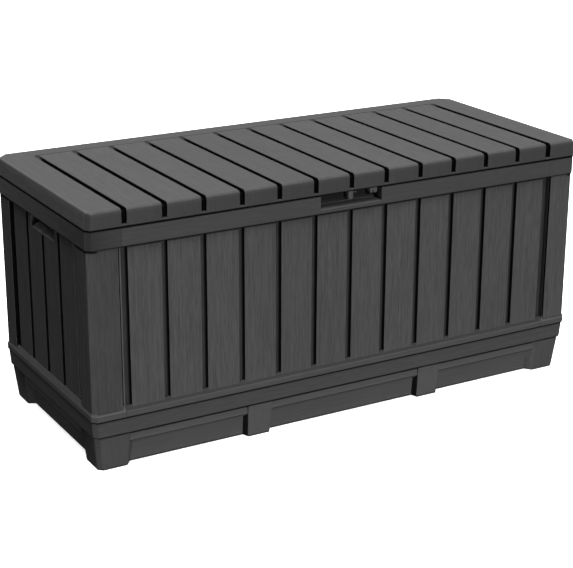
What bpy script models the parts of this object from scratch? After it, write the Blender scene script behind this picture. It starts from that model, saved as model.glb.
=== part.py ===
"""Deck storage box: a slatted resin chest with a hinged plank lid.

Metres, +Z up. The origin is on the ground at the middle of the box's outline.
+X is to the right seen from the front, and the front faces -Y.
"""
import bpy
import bmesh
import math
from mathutils import Matrix, Vector

# ---------------------------------------------------------------- dimensions
P = 0.0925            # pitch of the planks and slats
H = 6.39 * P          # overall height, ground to lid top
YC = 2.915 * P        # front slat datum to the middle of the outline

SKIN = 0.036 * P      # moulded wall thickness, about 3.3 mm
GAP = 0.0004          # clearance between pieces that meet

# widths (half, X), front and rear faces (Y, from the slat datum)
LID_X, LID_F, LID_R = 6.96 * P, -0.030 * P, 5.860 * P
RIM_X, RIM_F, RIM_R = 6.942 * P, -0.022 * P, 5.680 * P
POST_X, POST_F, POST_R = 6.910 * P, 0.000 * P, 5.660 * P
SLAT_X, SLAT_F, SLAT_R = 6.865 * P, 0.030 * P, 5.630 * P
LIP_X, LIP_F, LIP_R = 6.930 * P, -0.012 * P, 5.672 * P
CHAMFER = 0.12 * P    # vertical corner chamfer, 11 mm
LID_REAR_CHAMFER = 0.28 * P

# levels (Z, down from the lid top)
Z_LID_BOTTOM = -0.4337 * P
Z_RIM_TOP = -0.4380 * P
Z_RIM_BOTTOM = -0.900 * P
Z_LEDGE_TOP = -4.800 * P
Z_LIP_EDGE = -4.925 * P
Z_PANEL_BOTTOM = -5.087 * P
Z_BASE_TOP = -5.0915 * P
Z_BAND_BOTTOM = -5.505 * P
Z_SUB_BOTTOM = -5.760 * P
Z_SKIRT_BOTTOM = -6.360 * P
Z_GROUND = -6.390 * P
FLOOR_T = 0.040 * P

# wall slats
SEAM_X = 6.0835 * P         # joint between a side panel and the long panels
GROOVE_W = 0.155 * P        # front and back groove width
GROOVE_D = 0.085 * P
POST_SIDE = 0.730 * P       # depth of a corner post on the side
SIDE_WIDE = 0.200 * P       # wide groove beside a post
SIDE_GROOVE_W = 0.085 * P   # narrow side groove

# lid planks
LID_GROOVE_W = 0.100 * P
LID_GROOVE_D = 0.110 * P
LID_NOTCH_Z = -0.345 * P
LID_NOTCH_D = 0.085 * P

# handle pocket and lock recess
HANDLE_HALF = 0.735 * P
HANDLE_LOW = -1.230 * P
LOCK_HALF = 0.870 * P
LOCK_LOW = -0.750 * P
LOCK_DEPTH = 0.300 * P
LUGS = ((-0.030 * P, 0.100 * P, -0.680 * P), (0.588 * P, 0.793 * P, -0.610 * P))    # X from, X to, lower end

# hinge line
HINGE_Y = 5.780 * P
HINGE_Z = -0.505 * P
KNUCKLE_R = 0.0058
PIN_R = 0.0026
HINGE_AT = (-4.5 * P, 0.0, 4.5 * P)


def wy(y):
    return y - YC


def wz(z):
    return z + H


# ------------------------------------------------------------------- scene
for ob in list(bpy.data.objects):
    bpy.data.objects.remove(ob, do_unlink=True)

parts = bpy.data.collections.new("deck_storage_box")
bpy.context.scene.collection.children.link(parts)


def material(name, colour, rough, metal=0.0):
    m = bpy.data.materials.new(name)
    m.use_nodes = True
    b = m.node_tree.nodes["Principled BSDF"]
    b.inputs["Base Color"].default_value = (*colour, 1.0)
    b.inputs["Roughness"].default_value = rough
    b.inputs["Metallic"].default_value = metal
    return m


RESIN = dict(colour=(0.045, 0.045, 0.047), rough=0.62)
RESIN_DARK = dict(colour=(0.030, 0.030, 0.032), rough=0.60)
RESIN_GREY = dict(colour=(0.13, 0.13, 0.13), rough=0.50)
STEEL = dict(colour=(0.48, 0.48, 0.47), rough=0.35, metal=1.0)


# ------------------------------------------------------------ mesh builders
def temp(mesh, name="tmp"):
    ob = bpy.data.objects.new(name, mesh)
    bpy.context.scene.collection.objects.link(ob)
    return ob


def box(x0, x1, y0, y1, z0, z1):
    """Cuboid between two corners, in the slat datum's Y and lid-top Z."""
    bm = bmesh.new()
    bmesh.ops.create_cube(bm, size=1.0)
    bmesh.ops.scale(bm, vec=(x1 - x0, y1 - y0, z1 - z0), verts=bm.verts)
    bmesh.ops.translate(bm, vec=((x0 + x1) / 2, wy((y0 + y1) / 2), wz((z0 + z1) / 2)), verts=bm.verts)
    me = bpy.data.meshes.new("box")
    bm.to_mesh(me)
    bm.free()
    return temp(me)


def ring_block(top, bottom, z0, z1, chamfer=CHAMFER, rear=None, taper_rear=None):
    """Block with chamfered vertical corners. top and bottom are
    (half width, front, rear); the lower end is drawn in to bottom."""
    hx, f, r = top
    bm = bmesh.new()
    bmesh.ops.create_cube(bm, size=1.0)
    bmesh.ops.scale(bm, vec=(2 * hx, r - f, z1 - z0), verts=bm.verts)
    bmesh.ops.translate(bm, vec=(0, wy((f + r) / 2), wz((z0 + z1) / 2)), verts=bm.verts)
    ymid = wy((f + r) / 2)
    for lower, width in ((True, chamfer), (False, rear or chamfer)):
        edges = [e for e in bm.edges
                 if abs(e.verts[0].co.z - e.verts[1].co.z) > 0.5 * (z1 - z0)
                 and ((e.verts[0].co.y < ymid) == lower)]
        bmesh.ops.bevel(bm, geom=edges, offset=width, offset_type="OFFSET", segments=1,
                        affect="EDGES", profile=0.5)
    bx, bf, br = bottom
    zm = wz((z0 + z1) / 2)
    for v in bm.verts:
        if v.co.z < zm:
            v.co.x *= bx / hx
            t = (v.co.y - wy(f)) / (r - f)
            v.co.y = wy(bf) + t * (br - bf)
    me = bpy.data.meshes.new("ring_block")
    bm.to_mesh(me)
    bm.free()
    return temp(me)


def outline(loops, depth):
    """Flat outline (one or more loops) given thickness: centred on z = 0."""
    cu = bpy.data.curves.new("outline", "CURVE")
    cu.dimensions = "2D"
    cu.fill_mode = "BOTH"
    cu.extrude = depth / 2
    for pts in loops:
        sp = cu.splines.new("POLY")
        sp.points.add(len(pts) - 1)
        for point, (u, v) in zip(sp.points, pts):
            point.co = (u, v, 0.0, 1.0)
        sp.use_cyclic_u = True
    ob = bpy.data.objects.new("outline", cu)
    bpy.context.scene.collection.objects.link(ob)
    deps = bpy.context.evaluated_depsgraph_get()
    me = bpy.data.meshes.new_from_object(ob.evaluated_get(deps))
    bpy.data.objects.remove(ob)
    bm = bmesh.new()
    bm.from_mesh(me)
    bmesh.ops.remove_doubles(bm, verts=bm.verts, dist=1e-6)
    bmesh.ops.recalc_face_normals(bm, faces=bm.faces)
    bm.to_mesh(me)
    bm.free()
    return temp(me)


def plan_prism(loops, z0, z1):
    """Plan outline (X, Y from the slat datum) between two levels."""
    ob = outline([[(x, wy(y)) for x, y in pts] for pts in loops], z1 - z0)
    ob.data.transform(Matrix.Translation((0, 0, wz((z0 + z1) / 2))))
    return ob


def section_bar(pts, x0, x1):
    """Section in Y, Z (slat datum, lid top) drawn out along X."""
    ob = outline([[(wy(y), wz(z)) for y, z in pts]], x1 - x0)
    turn = Matrix(((0, 0, 1, 0), (1, 0, 0, 0), (0, 1, 0, 0), (0, 0, 0, 1)))
    ob.data.transform(Matrix.Translation(((x0 + x1) / 2, 0, 0)) @ turn)
    return ob


def section_bar_y(pts, y0, y1):
    """Section in X, Z drawn out along Y."""
    ob = outline([[(x, wz(z)) for x, z in pts]], y1 - y0)
    turn = Matrix(((1, 0, 0, 0), (0, 0, -1, 0), (0, 1, 0, 0), (0, 0, 0, 1)))
    ob.data.transform(Matrix.Translation((0, wy((y0 + y1) / 2), 0)) @ turn)
    return ob


def rod(r, start, end, seg=24, r2=None):
    """Round bar between two points, in the slat datum's Y and lid-top Z."""
    a = Vector((start[0], wy(start[1]), wz(start[2])))
    b = Vector((end[0], wy(end[1]), wz(end[2])))
    bm = bmesh.new()
    bmesh.ops.create_cone(bm, cap_ends=True, segments=seg, radius1=r, radius2=r if r2 is None else r2,
                          depth=(b - a).length)
    me = bpy.data.meshes.new("rod")
    bm.to_mesh(me)
    bm.free()
    turn = Vector((0, 0, 1)).rotation_difference((b - a).normalized()).to_matrix().to_4x4()
    me.transform(Matrix.Translation((a + b) / 2) @ turn)
    return temp(me)


def combine(ob, others, operation):
    """Exact Boolean of ob with each of the other solids, made real."""
    group = bpy.data.collections.new("cutters")
    bpy.context.scene.collection.children.link(group)
    for other in others:
        group.objects.link(other)
        other.hide_render = True
        other.display_type = "WIRE"
    mod = ob.modifiers.new("combine", "BOOLEAN")
    mod.operation = operation
    mod.solver = "EXACT"
    mod.operand_type = "COLLECTION"
    mod.collection = group
    deps = bpy.context.evaluated_depsgraph_get()
    me = bpy.data.meshes.new_from_object(ob.evaluated_get(deps))
    ob.modifiers.clear()
    ob.data = me
    for other in others:
        bpy.data.objects.remove(other)
    bpy.data.collections.remove(group)
    return ob


def union(ob, *others):
    for other in others:
        combine(ob, [other], "UNION")
    return ob


def cut(ob, *others):
    for other in others:
        combine(ob, [other], "DIFFERENCE")
    return ob


def keep(ob, other):
    return combine(ob, [other], "INTERSECT")


def copy(ob):
    return temp(ob.data.copy())


def place(name, ob, look, origin=(0.0, 0.0, 0.0), parent=None):
    """Turn a finished solid into a named part with its origin at origin."""
    me = ob.data
    bm = bmesh.new()
    bm.from_mesh(me)
    bmesh.ops.remove_doubles(bm, verts=bm.verts, dist=1e-6)
    bmesh.ops.dissolve_limit(bm, angle_limit=math.radians(0.05), verts=bm.verts, edges=bm.edges)
    bmesh.ops.triangulate(bm, faces=bm.faces)
    bmesh.ops.transform(bm, matrix=Matrix.Translation(-Vector(origin)), verts=bm.verts)
    bm.to_mesh(me)
    bm.free()
    me.materials.clear()
    me.materials.append(material(name + "_material", **look))
    me.name = name
    ob.name = name
    for c in list(ob.users_collection):
        c.objects.unlink(ob)
    parts.objects.link(ob)
    ob.location = origin
    if parent is not None:
        ob.parent = parent
        ob.matrix_parent_inverse = Matrix.Translation(-Vector(parent.location))
    return ob


# --------------------------------------------------------- empties for joints
hinge_at = (0.0, wy(HINGE_Y), wz(HINGE_Z))
lid_pivot = bpy.data.objects.new("lid_pivot", None)
lid_pivot.location = hinge_at
parts.objects.link(lid_pivot)


# --------------------------------------------------------------- wall outline
def wall_plan(offset):
    """Plan outline of the four walls. offset 0 is the outer face; a positive
    offset gives the same outline moved inwards by that thickness."""
    o = offset
    bead_out = SEAM_X + 0.052 * P
    bead_in = SEAM_X + 0.012 * P
    slot_out = SEAM_X + 0.078 * P

    def front_half(face_post, face_slat, d):
        """Points for X from 0 to the right-hand post, for a wall whose inside
        is towards d (+1 is +Y)."""
        pts = []
        deep = face_slat + d * GROOVE_D
        w = GROOVE_W / 2
        for k in range(0, 6):
            c = k * P
            if k == 0:
                pts += [(w + o, deep + d * o), (w + o, face_slat + d * o)]
            else:
                pts += [(c - w - o, face_slat + d * o), (c - w - o, deep + d * o),
                        (c + w + o, deep + d * o), (c + w + o, face_slat + d * o)]
        c = 6 * P
        if o == 0:
            # last groove, raised bead, hairline slot, then the post
            pts += [(c - w, face_slat), (c - w, deep), (bead_in, deep), (bead_in, face_slat - d * 0.006 * P),
                    (bead_out, face_slat - d * 0.006 * P), (bead_out, face_slat + d * 0.05 * P),
                    (slot_out, face_slat + d * 0.05 * P), (slot_out, face_post)]
        else:
            pts += [(c - w - o, face_slat + d * o), (c - w - o, deep + d * o),
                    (slot_out + o, deep + d * o), (slot_out + o, face_post + d * o)]
        return pts

    def side_half(d):
        """Points for the right-hand wall, from its middle to one post; d is -1
        towards the front and +1 towards the rear."""
        mid = (POST_F + POST_R) / 2
        half = (POST_R - POST_F) / 2
        gw = SIDE_GROOVE_W / 2
        deep = SLAT_X - GROOVE_D
        pts = [(deep - o, gw + o), (SLAT_X - o, gw + o)]
        pts += [(SLAT_X - o, P - gw - o), (deep - o, P - gw - o), (deep - o, P + gw + o), (SLAT_X - o, P + gw + o)]
        a = half - POST_SIDE - SIDE_WIDE
        b = half - POST_SIDE
        pts += [(SLAT_X - o, a - o), (deep - o, a - o), (deep - o, b + o), (POST_X - o, b + o)]
        pts += [(POST_X - o, half - CHAMFER - 0.0)]
        return [(x, mid + d * y) for x, y in pts]

    k45 = o * math.tan(math.radians(22.5))
    # right-hand half, counter-clockwise from the front centre to the rear centre
    front = front_half(POST_F, SLAT_F, 1)
    corner_f = [(POST_X - CHAMFER - k45, POST_F + o)]
    side_f = list(reversed(side_half(-1)))
    side_f[0] = (POST_X - o, POST_F + CHAMFER + k45)
    side_r = side_half(1)
    side_r[-1] = (POST_X - o, POST_R - CHAMFER - k45)
    corner_r = [(POST_X - CHAMFER - k45, POST_R - o)]
    rear = list(reversed(front_half(POST_R, SLAT_R, -1)))
    right = front + corner_f + side_f + side_r + corner_r + rear
    left = [(-x, y) for x, y in reversed(right)]
    return right + left


def walls_ring():
    """All four walls as one shell: slats, rim channel and bottom ledge."""
    walls = plan_prism([wall_plan(0.0), wall_plan(SKIN)], Z_LEDGE_TOP - 0.06 * P, Z_RIM_BOTTOM + 0.06 * P)
    # rim: an inverted channel round the top
    rim = ring_block((RIM_X, RIM_F, RIM_R), (RIM_X, RIM_F, RIM_R), Z_RIM_BOTTOM, Z_RIM_TOP)
    inner = 0.36 * P
    cut(rim,
        ring_block((RIM_X - inner, RIM_F + inner, RIM_R - inner), (RIM_X - inner, RIM_F + inner, RIM_R - inner),
                   Z_RIM_BOTTOM - 0.1 * P, Z_RIM_TOP + 0.1 * P))
    a, b = SKIN, inner - SKIN
    hollow = ring_block((RIM_X - a, RIM_F + a, RIM_R - a), (RIM_X - a, RIM_F + a, RIM_R - a),
                        Z_RIM_BOTTOM + SKIN, Z_RIM_TOP - SKIN)
    cut(hollow, ring_block((RIM_X - b, RIM_F + b, RIM_R - b), (RIM_X - b, RIM_F + b, RIM_R - b),
                           Z_RIM_BOTTOM - 0.1 * P, Z_RIM_TOP + 0.1 * P))
    cut(rim, hollow)
    # open the channel downwards behind the slats
    slot_in, slot_out = 0.22 * P, inner - SKIN
    slot = ring_block((RIM_X - slot_in, RIM_F + slot_in, RIM_R - slot_in),
                      (RIM_X - slot_in, RIM_F + slot_in, RIM_R - slot_in),
                      Z_RIM_BOTTOM - 0.05 * P, Z_RIM_BOTTOM + 2 * SKIN)
    cut(slot, ring_block((RIM_X - slot_out, RIM_F + slot_out, RIM_R - slot_out),
                         (RIM_X - slot_out, RIM_F + slot_out, RIM_R - slot_out),
                         Z_RIM_BOTTOM - 0.1 * P, Z_RIM_TOP + 0.1 * P))
    cut(rim, slot)
    # ledge: lip, sloped shoulder and a bottom flange
    ledge = ring_block((LIP_X, LIP_F, LIP_R), (LIP_X, LIP_F, LIP_R), Z_PANEL_BOTTOM, Z_LIP_EDGE)
    shoulder = ring_block((SLAT_X + 0.004 * P, SLAT_F - 0.004 * P, SLAT_R + 0.004 * P), (LIP_X, LIP_F, LIP_R),
                          Z_LIP_EDGE, Z_LEDGE_TOP)
    union(ledge, shoulder)
    flange = 0.32 * P
    cut(ledge,
        ring_block((LIP_X - SKIN - 0.05 * P, LIP_F + SKIN + 0.05 * P, LIP_R - SKIN - 0.05 * P),
                   (LIP_X - SKIN, LIP_F + SKIN, LIP_R - SKIN),
                   Z_LIP_EDGE - 0.02 * P, Z_LEDGE_TOP + 0.1 * P),
        ring_block((LIP_X - SKIN, LIP_F + SKIN, LIP_R - SKIN), (LIP_X - SKIN, LIP_F + SKIN, LIP_R - SKIN),
                   Z_PANEL_BOTTOM + SKIN, Z_LIP_EDGE),
        ring_block((LIP_X - flange, LIP_F + flange, LIP_R - flange), (LIP_X - flange, LIP_F + flange, LIP_R - flange),
                   Z_PANEL_BOTTOM - 0.1 * P, Z_PANEL_BOTTOM + 0.1 * P))
    union(walls, ledge, rim)
    return walls


ring = walls_ring()
SPLIT_Y = (RIM_F + RIM_R) / 2
FLANGE_IN = 0.37 * P
FLANGE_Z = (-4.90 * P, -0.55 * P)
SCREW_Y = 0.27 * P
SCREW_Z = (-1.45 * P, -4.25 * P)


def end_flange(x0, x1, rear):
    """Upright screw flange inside a wall's end."""
    y0, y1 = SLAT_F + 0.09 * P, FLANGE_IN
    if rear:
        y0, y1 = SLAT_R - 0.09 * P - (FLANGE_IN - y0), SLAT_R - 0.09 * P
        y0 = 2 * SPLIT_Y - FLANGE_IN
    return box(min(x0, x1), max(x0, x1), y0, y1, *FLANGE_Z)


def screw_holes(x_sign, rear):
    y = 2 * SPLIT_Y - SCREW_Y if rear else SCREW_Y
    return [rod(0.0024, (x_sign * 5.9 * P, y, z), (x_sign * 6.3 * P, y, z), 16) for z in SCREW_Z]


def long_panel(rear):
    body = copy(ring)
    if rear:
        keep(body, box(-SEAM_X + GAP / 2, SEAM_X - GAP / 2, SPLIT_Y, 7 * P, -7 * P, 1 * P))
    else:
        keep(body, box(-SEAM_X + GAP / 2, SEAM_X - GAP / 2, -1 * P, SPLIT_Y, -7 * P, 1 * P))
    for s in (-1, 1):
        union(body, end_flange(s * (SEAM_X - GAP / 2), s * (SEAM_X - GAP / 2 - SKIN), rear))
        cut(body, *screw_holes(s, rear))
    return body


def side_panel(s):
    body = copy(ring)
    x0, x1 = (-8 * P, -SEAM_X - GAP / 2) if s < 0 else (SEAM_X + GAP / 2, 8 * P)
    keep(body, box(x0, x1, -1 * P, 7 * P, -7 * P, 1 * P))
    for rear in (False, True):
        union(body, end_flange(s * (SEAM_X + GAP / 2), s * (SEAM_X + GAP / 2 + SKIN), rear))
        cut(body, *screw_holes(s, rear))
    # handle pocket under the rim, with a sloping floor
    mid = (POST_F + POST_R) / 2
    inside = SLAT_X - 0.40 * P
    shell = section_bar_y([(s * (SLAT_X - 0.01 * P), HANDLE_LOW - 0.06 * P), (s * inside, HANDLE_LOW + 0.13 * P),
                           (s * inside, Z_RIM_BOTTOM + SKIN / 2), (s * (SLAT_X - 0.01 * P), Z_RIM_BOTTOM + SKIN / 2)],
                          mid - HANDLE_HALF - SKIN, mid + HANDLE_HALF + SKIN)
    union(body, shell)
    hollow = section_bar_y([(s * (SLAT_X + 0.10 * P), HANDLE_LOW - 0.02 * P), (s * (SLAT_X - 0.02 * P), HANDLE_LOW),
                            (s * (inside + SKIN), HANDLE_LOW + 0.13 * P + SKIN),
                            (s * (inside + SKIN), Z_RIM_BOTTOM - 0.012 * P),
                            (s * (SLAT_X + 0.10 * P), Z_RIM_BOTTOM - 0.012 * P)],
                           mid - HANDLE_HALF, mid + HANDLE_HALF)
    cut(body, hollow)
    return body


# ------------------------------------------------------------- front and back
front = long_panel(False)
# lock recess: a tub let into the rim, open at the top and front
tub = box(-LOCK_HALF - SKIN, LOCK_HALF + SKIN, RIM_F + SKIN / 2, RIM_F + LOCK_DEPTH + SKIN, LOCK_LOW - SKIN, Z_RIM_TOP)
union(front, tub)
cut(front, box(-LOCK_HALF, LOCK_HALF, RIM_F - 0.1 * P, RIM_F + LOCK_DEPTH, LOCK_LOW, Z_RIM_TOP + 0.1 * P))
back = long_panel(True)

BOTTOM_SCREWS = [(s * 3.0 * P, r) for s in (-1, 1) for r in (False, True)]
FLOOR_SCREW_Y = LIP_F + 0.20 * P


def floor_screw_y(rear):
    return 2 * ((LIP_F + LIP_R) / 2) - FLOOR_SCREW_Y if rear else FLOOR_SCREW_Y


for x, rear in BOTTOM_SCREWS:
    y = floor_screw_y(rear)
    cut(back if rear else front, rod(0.0024, (x, y, -5.3 * P), (x, y, -4.99 * P), 16))

# ---------------------------------------------------------------------- base
BAND_TOP = (6.907 * P, 0.013 * P, 5.650 * P)
BAND_LOW = (6.875 * P, 0.045 * P, 5.618 * P)
SUB = (6.800 * P, 0.115 * P, 5.548 * P)
SKIRT_TOP = (6.650 * P, 0.270 * P, 5.393 * P)
SKIRT_LOW = (6.575 * P, 0.350 * P, 5.313 * P)
FOOT_TOP = (6.852 * P, 0.068 * P, 5.595 * P)
FOOT_LOW = (6.760 * P, 0.160 * P, 5.503 * P)

base = ring_block(BAND_TOP, BAND_LOW, Z_BAND_BOTTOM, Z_BASE_TOP)
union(base, ring_block(SUB, SUB, Z_SUB_BOTTOM, Z_BAND_BOTTOM + 0.02 * P))
union(base, ring_block(SKIRT_TOP, SKIRT_LOW, Z_SKIRT_BOTTOM, Z_SUB_BOTTOM + 0.02 * P))

# corner feet: the corner of a tapered block, with slanted inner flanks
feet = ring_block(FOOT_TOP, FOOT_LOW, Z_GROUND, Z_BAND_BOTTOM + 0.01 * P)


def between_x(x0, x1, y_face, y_in, run0, run1, draft0, draft1):
    """Opening between two feet on a long side. x0 and x1 are the feet's edges
    where they meet the skirt, run is how far a flank slants on its way out,
    draft is how much wider the opening is at the ground."""
    a, b = (y_face, y_in)
    pts = [(x0 - run0, a), (x1 + run1, a), (x1, b), (x0, b)]
    ob = plan_prism([pts if a < b else list(reversed(pts))], Z_GROUND - 0.1 * P, Z_BAND_BOTTOM + 0.03 * P)
    zl = wz(Z_GROUND - 0.1 * P)
    for v in ob.data.vertices:
        if v.co.z < zl + 0.01:
            v.co.x += draft1 if v.co.x > (x0 + x1) / 2 else -draft0
    return ob


# corner feet have wide slanted flanks, the middle feet steep ones
CORNER_IN, MID_IN, MID_OUT = 5.790 * P, 2.125 * P, 2.935 * P
RUN_CORNER, RUN_MID = 0.40 * P, 0.15 * P
DRAFT_CORNER, DRAFT_MID = 0.26 * P, 0.070 * P
for y_face, y_in in ((-0.130 * P, 0.270 * P), (5.793 * P, 5.393 * P)):
    cut(feet,
        between_x(-CORNER_IN, -MID_OUT, y_face, y_in, RUN_CORNER, RUN_MID, DRAFT_CORNER, DRAFT_MID),
        between_x(-MID_IN, MID_IN, y_face, y_in, RUN_MID, RUN_MID, DRAFT_MID, DRAFT_MID),
        between_x(MID_OUT, CORNER_IN, y_face, y_in, RUN_MID, RUN_CORNER, DRAFT_MID, DRAFT_CORNER))
# along the short sides the skirt runs between the two corner feet
side_open = plan_prism([[(-8 * P, 0.86 * P), (-6.86 * P, 0.98 * P), (-6.45 * P, 1.18 * P), (6.45 * P, 1.18 * P),
                         (6.86 * P, 0.98 * P), (8 * P, 0.86 * P), (8 * P, 4.80 * P), (6.86 * P, 4.68 * P),
                         (6.45 * P, 4.48 * P), (-6.45 * P, 4.48 * P), (-6.86 * P, 4.68 * P), (-8 * P, 4.80 * P)]],
                       Z_GROUND - 0.1 * P, Z_BAND_BOTTOM + 0.03 * P)
cut(feet, side_open)
union(base, feet)
# hollow underside: floor plate on top, shell walls below
cut(base,
    ring_block((6.800 * P, 0.120 * P, 5.543 * P), (6.790 * P, 0.130 * P, 5.533 * P),
               Z_BAND_BOTTOM + 0.05 * P, Z_BASE_TOP - FLOOR_T),
    ring_block((6.740 * P, 0.175 * P, 5.488 * P), (6.740 * P, 0.175 * P, 5.488 * P),
               Z_SUB_BOTTOM + 0.05 * P, Z_BAND_BOTTOM + 0.06 * P),
    ring_block((6.585 * P, 0.340 * P, 5.323 * P), (6.510 * P, 0.415 * P, 5.248 * P),
               Z_GROUND - 0.1 * P, Z_SUB_BOTTOM + 0.06 * P))
# stiffening ribs under the floor
for x in (-4.2 * P, -1.4 * P, 1.4 * P, 4.2 * P):
    union(base, box(x - SKIN / 2, x + SKIN / 2, 0.25 * P, 5.41 * P, Z_SUB_BOTTOM + 0.06 * P, Z_BASE_TOP - FLOOR_T / 2))
union(base, box(-6.60 * P, 6.60 * P, 2.83 * P - SKIN / 2, 2.83 * P + SKIN / 2,
                Z_SUB_BOTTOM + 0.06 * P, Z_BASE_TOP - FLOOR_T / 2))
for x, rear in BOTTOM_SCREWS:
    y = floor_screw_y(rear)
    cut(base, rod(0.0024, (x, y, -5.3 * P), (x, y, -4.99 * P), 16))

# ----------------------------------------------------------------------- lid
lid = ring_block((LID_X, LID_F, LID_R), (LID_X - 0.004 * P, LID_F + 0.004 * P, LID_R - 0.004 * P),
                 Z_LID_BOTTOM, 0.0, rear=LID_REAR_CHAMFER)
bm = bmesh.new()
bm.from_mesh(lid.data)
top_edges = [e for e in bm.edges if all(v.co.z > H - 1e-6 for v in e.verts)]
bmesh.ops.bevel(bm, geom=top_edges, offset=0.05 * P, offset_type="OFFSET", segments=2, affect="EDGES", profile=0.5)
bm.to_mesh(lid.data)
bm.free()
# inside of the shell, below the groove floors
cut(lid, ring_block((LID_X - SKIN, LID_F + SKIN + 0.05 * P, LID_R - SKIN), (LID_X - SKIN, LID_F + SKIN + 0.05 * P, LID_R - SKIN),
                    Z_LID_BOTTOM - 0.1 * P, -LID_GROOVE_D - SKIN, rear=LID_REAR_CHAMFER - 0.02 * P))
# hollow planks between the groove walls
for k in range(14):
    a = (k - 7) * P + LID_GROOVE_W / 2 + SKIN
    b = (k - 6) * P - LID_GROOVE_W / 2 - SKIN
    if k == 0:
        a = -LID_X + SKIN + 0.02 * P
    if k == 13:
        b = LID_X - SKIN - 0.02 * P
    inset = 0.25 * P if k in (0, 13) else 0.0
    cut(lid, box(a, b, LID_F + 0.05 * P + SKIN + (0.08 * P if k in (0, 13) else 0), LID_R - SKIN - 0.02 * P - inset,
                 -LID_GROOVE_D - SKIN - 0.01 * P, -SKIN))
# grooves with a ramp at the rear and a notch down the front face
for k in range(13):
    x = (k - 6) * P
    cut(lid, section_bar([(LID_F - 0.2 * P, 0.1 * P), (5.35 * P, 0.1 * P), (5.27 * P, 0.0), (5.04 * P, -LID_GROOVE_D),
                          (LID_F + LID_NOTCH_D, -LID_GROOVE_D), (LID_F + LID_NOTCH_D, LID_NOTCH_Z + 0.03 * P),
                          (LID_F + LID_NOTCH_D - 0.03 * P, LID_NOTCH_Z), (LID_F - 0.2 * P, LID_NOTCH_Z)],
                         x - LID_GROOVE_W / 2, x + LID_GROOVE_W / 2))
# wall behind the front notches
union(lid, box(-6.4 * P, 6.4 * P, LID_F + LID_NOTCH_D + 0.001 * P, LID_F + LID_NOTCH_D + SKIN, Z_LID_BOTTOM, -LID_GROOVE_D - SKIN / 2))
LINER_SCREWS = [(x * P, y * P) for x in (-5.5, 0.5, 5.5) for y in (0.75, 5.0)]
Z_LINER_LOW, Z_LINER_TOP = -0.400 * P, -0.400 * P + SKIN * 0.8
for x, y in LINER_SCREWS:
    union(lid, rod(0.0060, (x, y, Z_LINER_TOP + GAP), (x, y, -SKIN / 2), 20))
for x, y in LINER_SCREWS:
    cut(lid, rod(0.0024, (x, y, Z_LINER_LOW), (x, y, -0.13 * P), 16))

# liner: flat pan closing the underside, with crossing ribs
LINER_IN = SKIN + 0.02 * P
liner = ring_block((LID_X - LINER_IN, LID_F + 0.17 * P, 5.735 * P), (LID_X - LINER_IN, LID_F + 0.17 * P, 5.735 * P),
                   Z_LINER_LOW, Z_LINER_TOP, rear=LID_REAR_CHAMFER)
for x in (-6.2, -3.5, -1.5, 1.5, 3.5, 6.2):
    union(liner, box(x * P - 0.002, x * P + 0.002, 0.30 * P, 5.45 * P, Z_LINER_TOP - 0.001, -LID_GROOVE_D - SKIN - GAP))
for y in (1.9, 3.8):
    union(liner, box(-6.4 * P, 6.4 * P, y * P - 0.002, y * P + 0.002, Z_LINER_TOP - 0.001, -LID_GROOVE_D - SKIN - GAP))
for x, y in LINER_SCREWS:
    cut(liner, rod(0.0024, (x, y, -0.5 * P), (x, y, -0.2 * P), 16))

# ---------------------------------------------------------------------- lock
lugs = []
for x0, x1, low in LUGS:
    # blocks under the lid that reach down into the recess, set back from the rim's face
    top = Z_LINER_LOW - GAP
    y0, y1 = 0.070 * P, 0.256 * P
    lug = box(x0, x1, y0 + 0.09 * P, y1, low + 0.04 * P, top)
    union(lug, section_bar([(y0 + 0.10 * P, -0.46 * P), (y0, -0.46 * P), (y0, low + 0.04 * P), (y0 + 0.02 * P, low),
                            (y1 - 0.03 * P, low), (y1 - 0.001 * P, low + 0.05 * P), (y1 - 0.001 * P, -0.46 * P)], x0, x1))
    lugs.append(lug)

# -------------------------------------------------------------------- hinges
leaf_low, leaf_up, pins = [], [], []
KN = 0.018            # length of a knuckle
for x in HINGE_AT:
    plate = box(x - 0.032, x + 0.032, RIM_R + GAP, RIM_R + GAP + 0.0026, -0.86 * P, HINGE_Z - 0.01 * P)
    for s in (-1, 1):
        c = x + s * (KN + GAP)
        union(plate, rod(KNUCKLE_R, (c - KN / 2, HINGE_Y, HINGE_Z), (c + KN / 2, HINGE_Y, HINGE_Z), 24),
              box(c - KN / 2, c + KN / 2, RIM_R + GAP + 0.0002, HINGE_Y, HINGE_Z - KNUCKLE_R + 0.0002, HINGE_Z + 0.001))
    cut(plate, rod(PIN_R + 0.0003, (x - 0.05, HINGE_Y, HINGE_Z), (x + 0.05, HINGE_Y, HINGE_Z), 24))
    leaf_low.append(plate)
    up = box(x - KN / 2 + GAP / 2, x + KN / 2 - GAP / 2, 5.765 * P, 5.807 * P, HINGE_Z, -0.20 * P)
    union(up, rod(KNUCKLE_R, (x - KN / 2 + GAP / 2, HINGE_Y, HINGE_Z), (x + KN / 2 - GAP / 2, HINGE_Y, HINGE_Z), 24),
          box(x - 0.030, x + 0.030, 5.765 * P, 5.807 * P, -0.40 * P, -0.19 * P))
    cut(up, rod(PIN_R + 0.0003, (x - 0.05, HINGE_Y, HINGE_Z), (x + 0.05, HINGE_Y, HINGE_Z), 24))
    leaf_up.append(up)
    pin = rod(PIN_R, (x - 0.031, HINGE_Y, HINGE_Z), (x + 0.031, HINGE_Y, HINGE_Z), 24)
    union(pin, rod(0.0042, (x - 0.0325, HINGE_Y, HINGE_Z), (x - 0.0306, HINGE_Y, HINGE_Z), 24))
    pins.append(pin)


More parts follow.
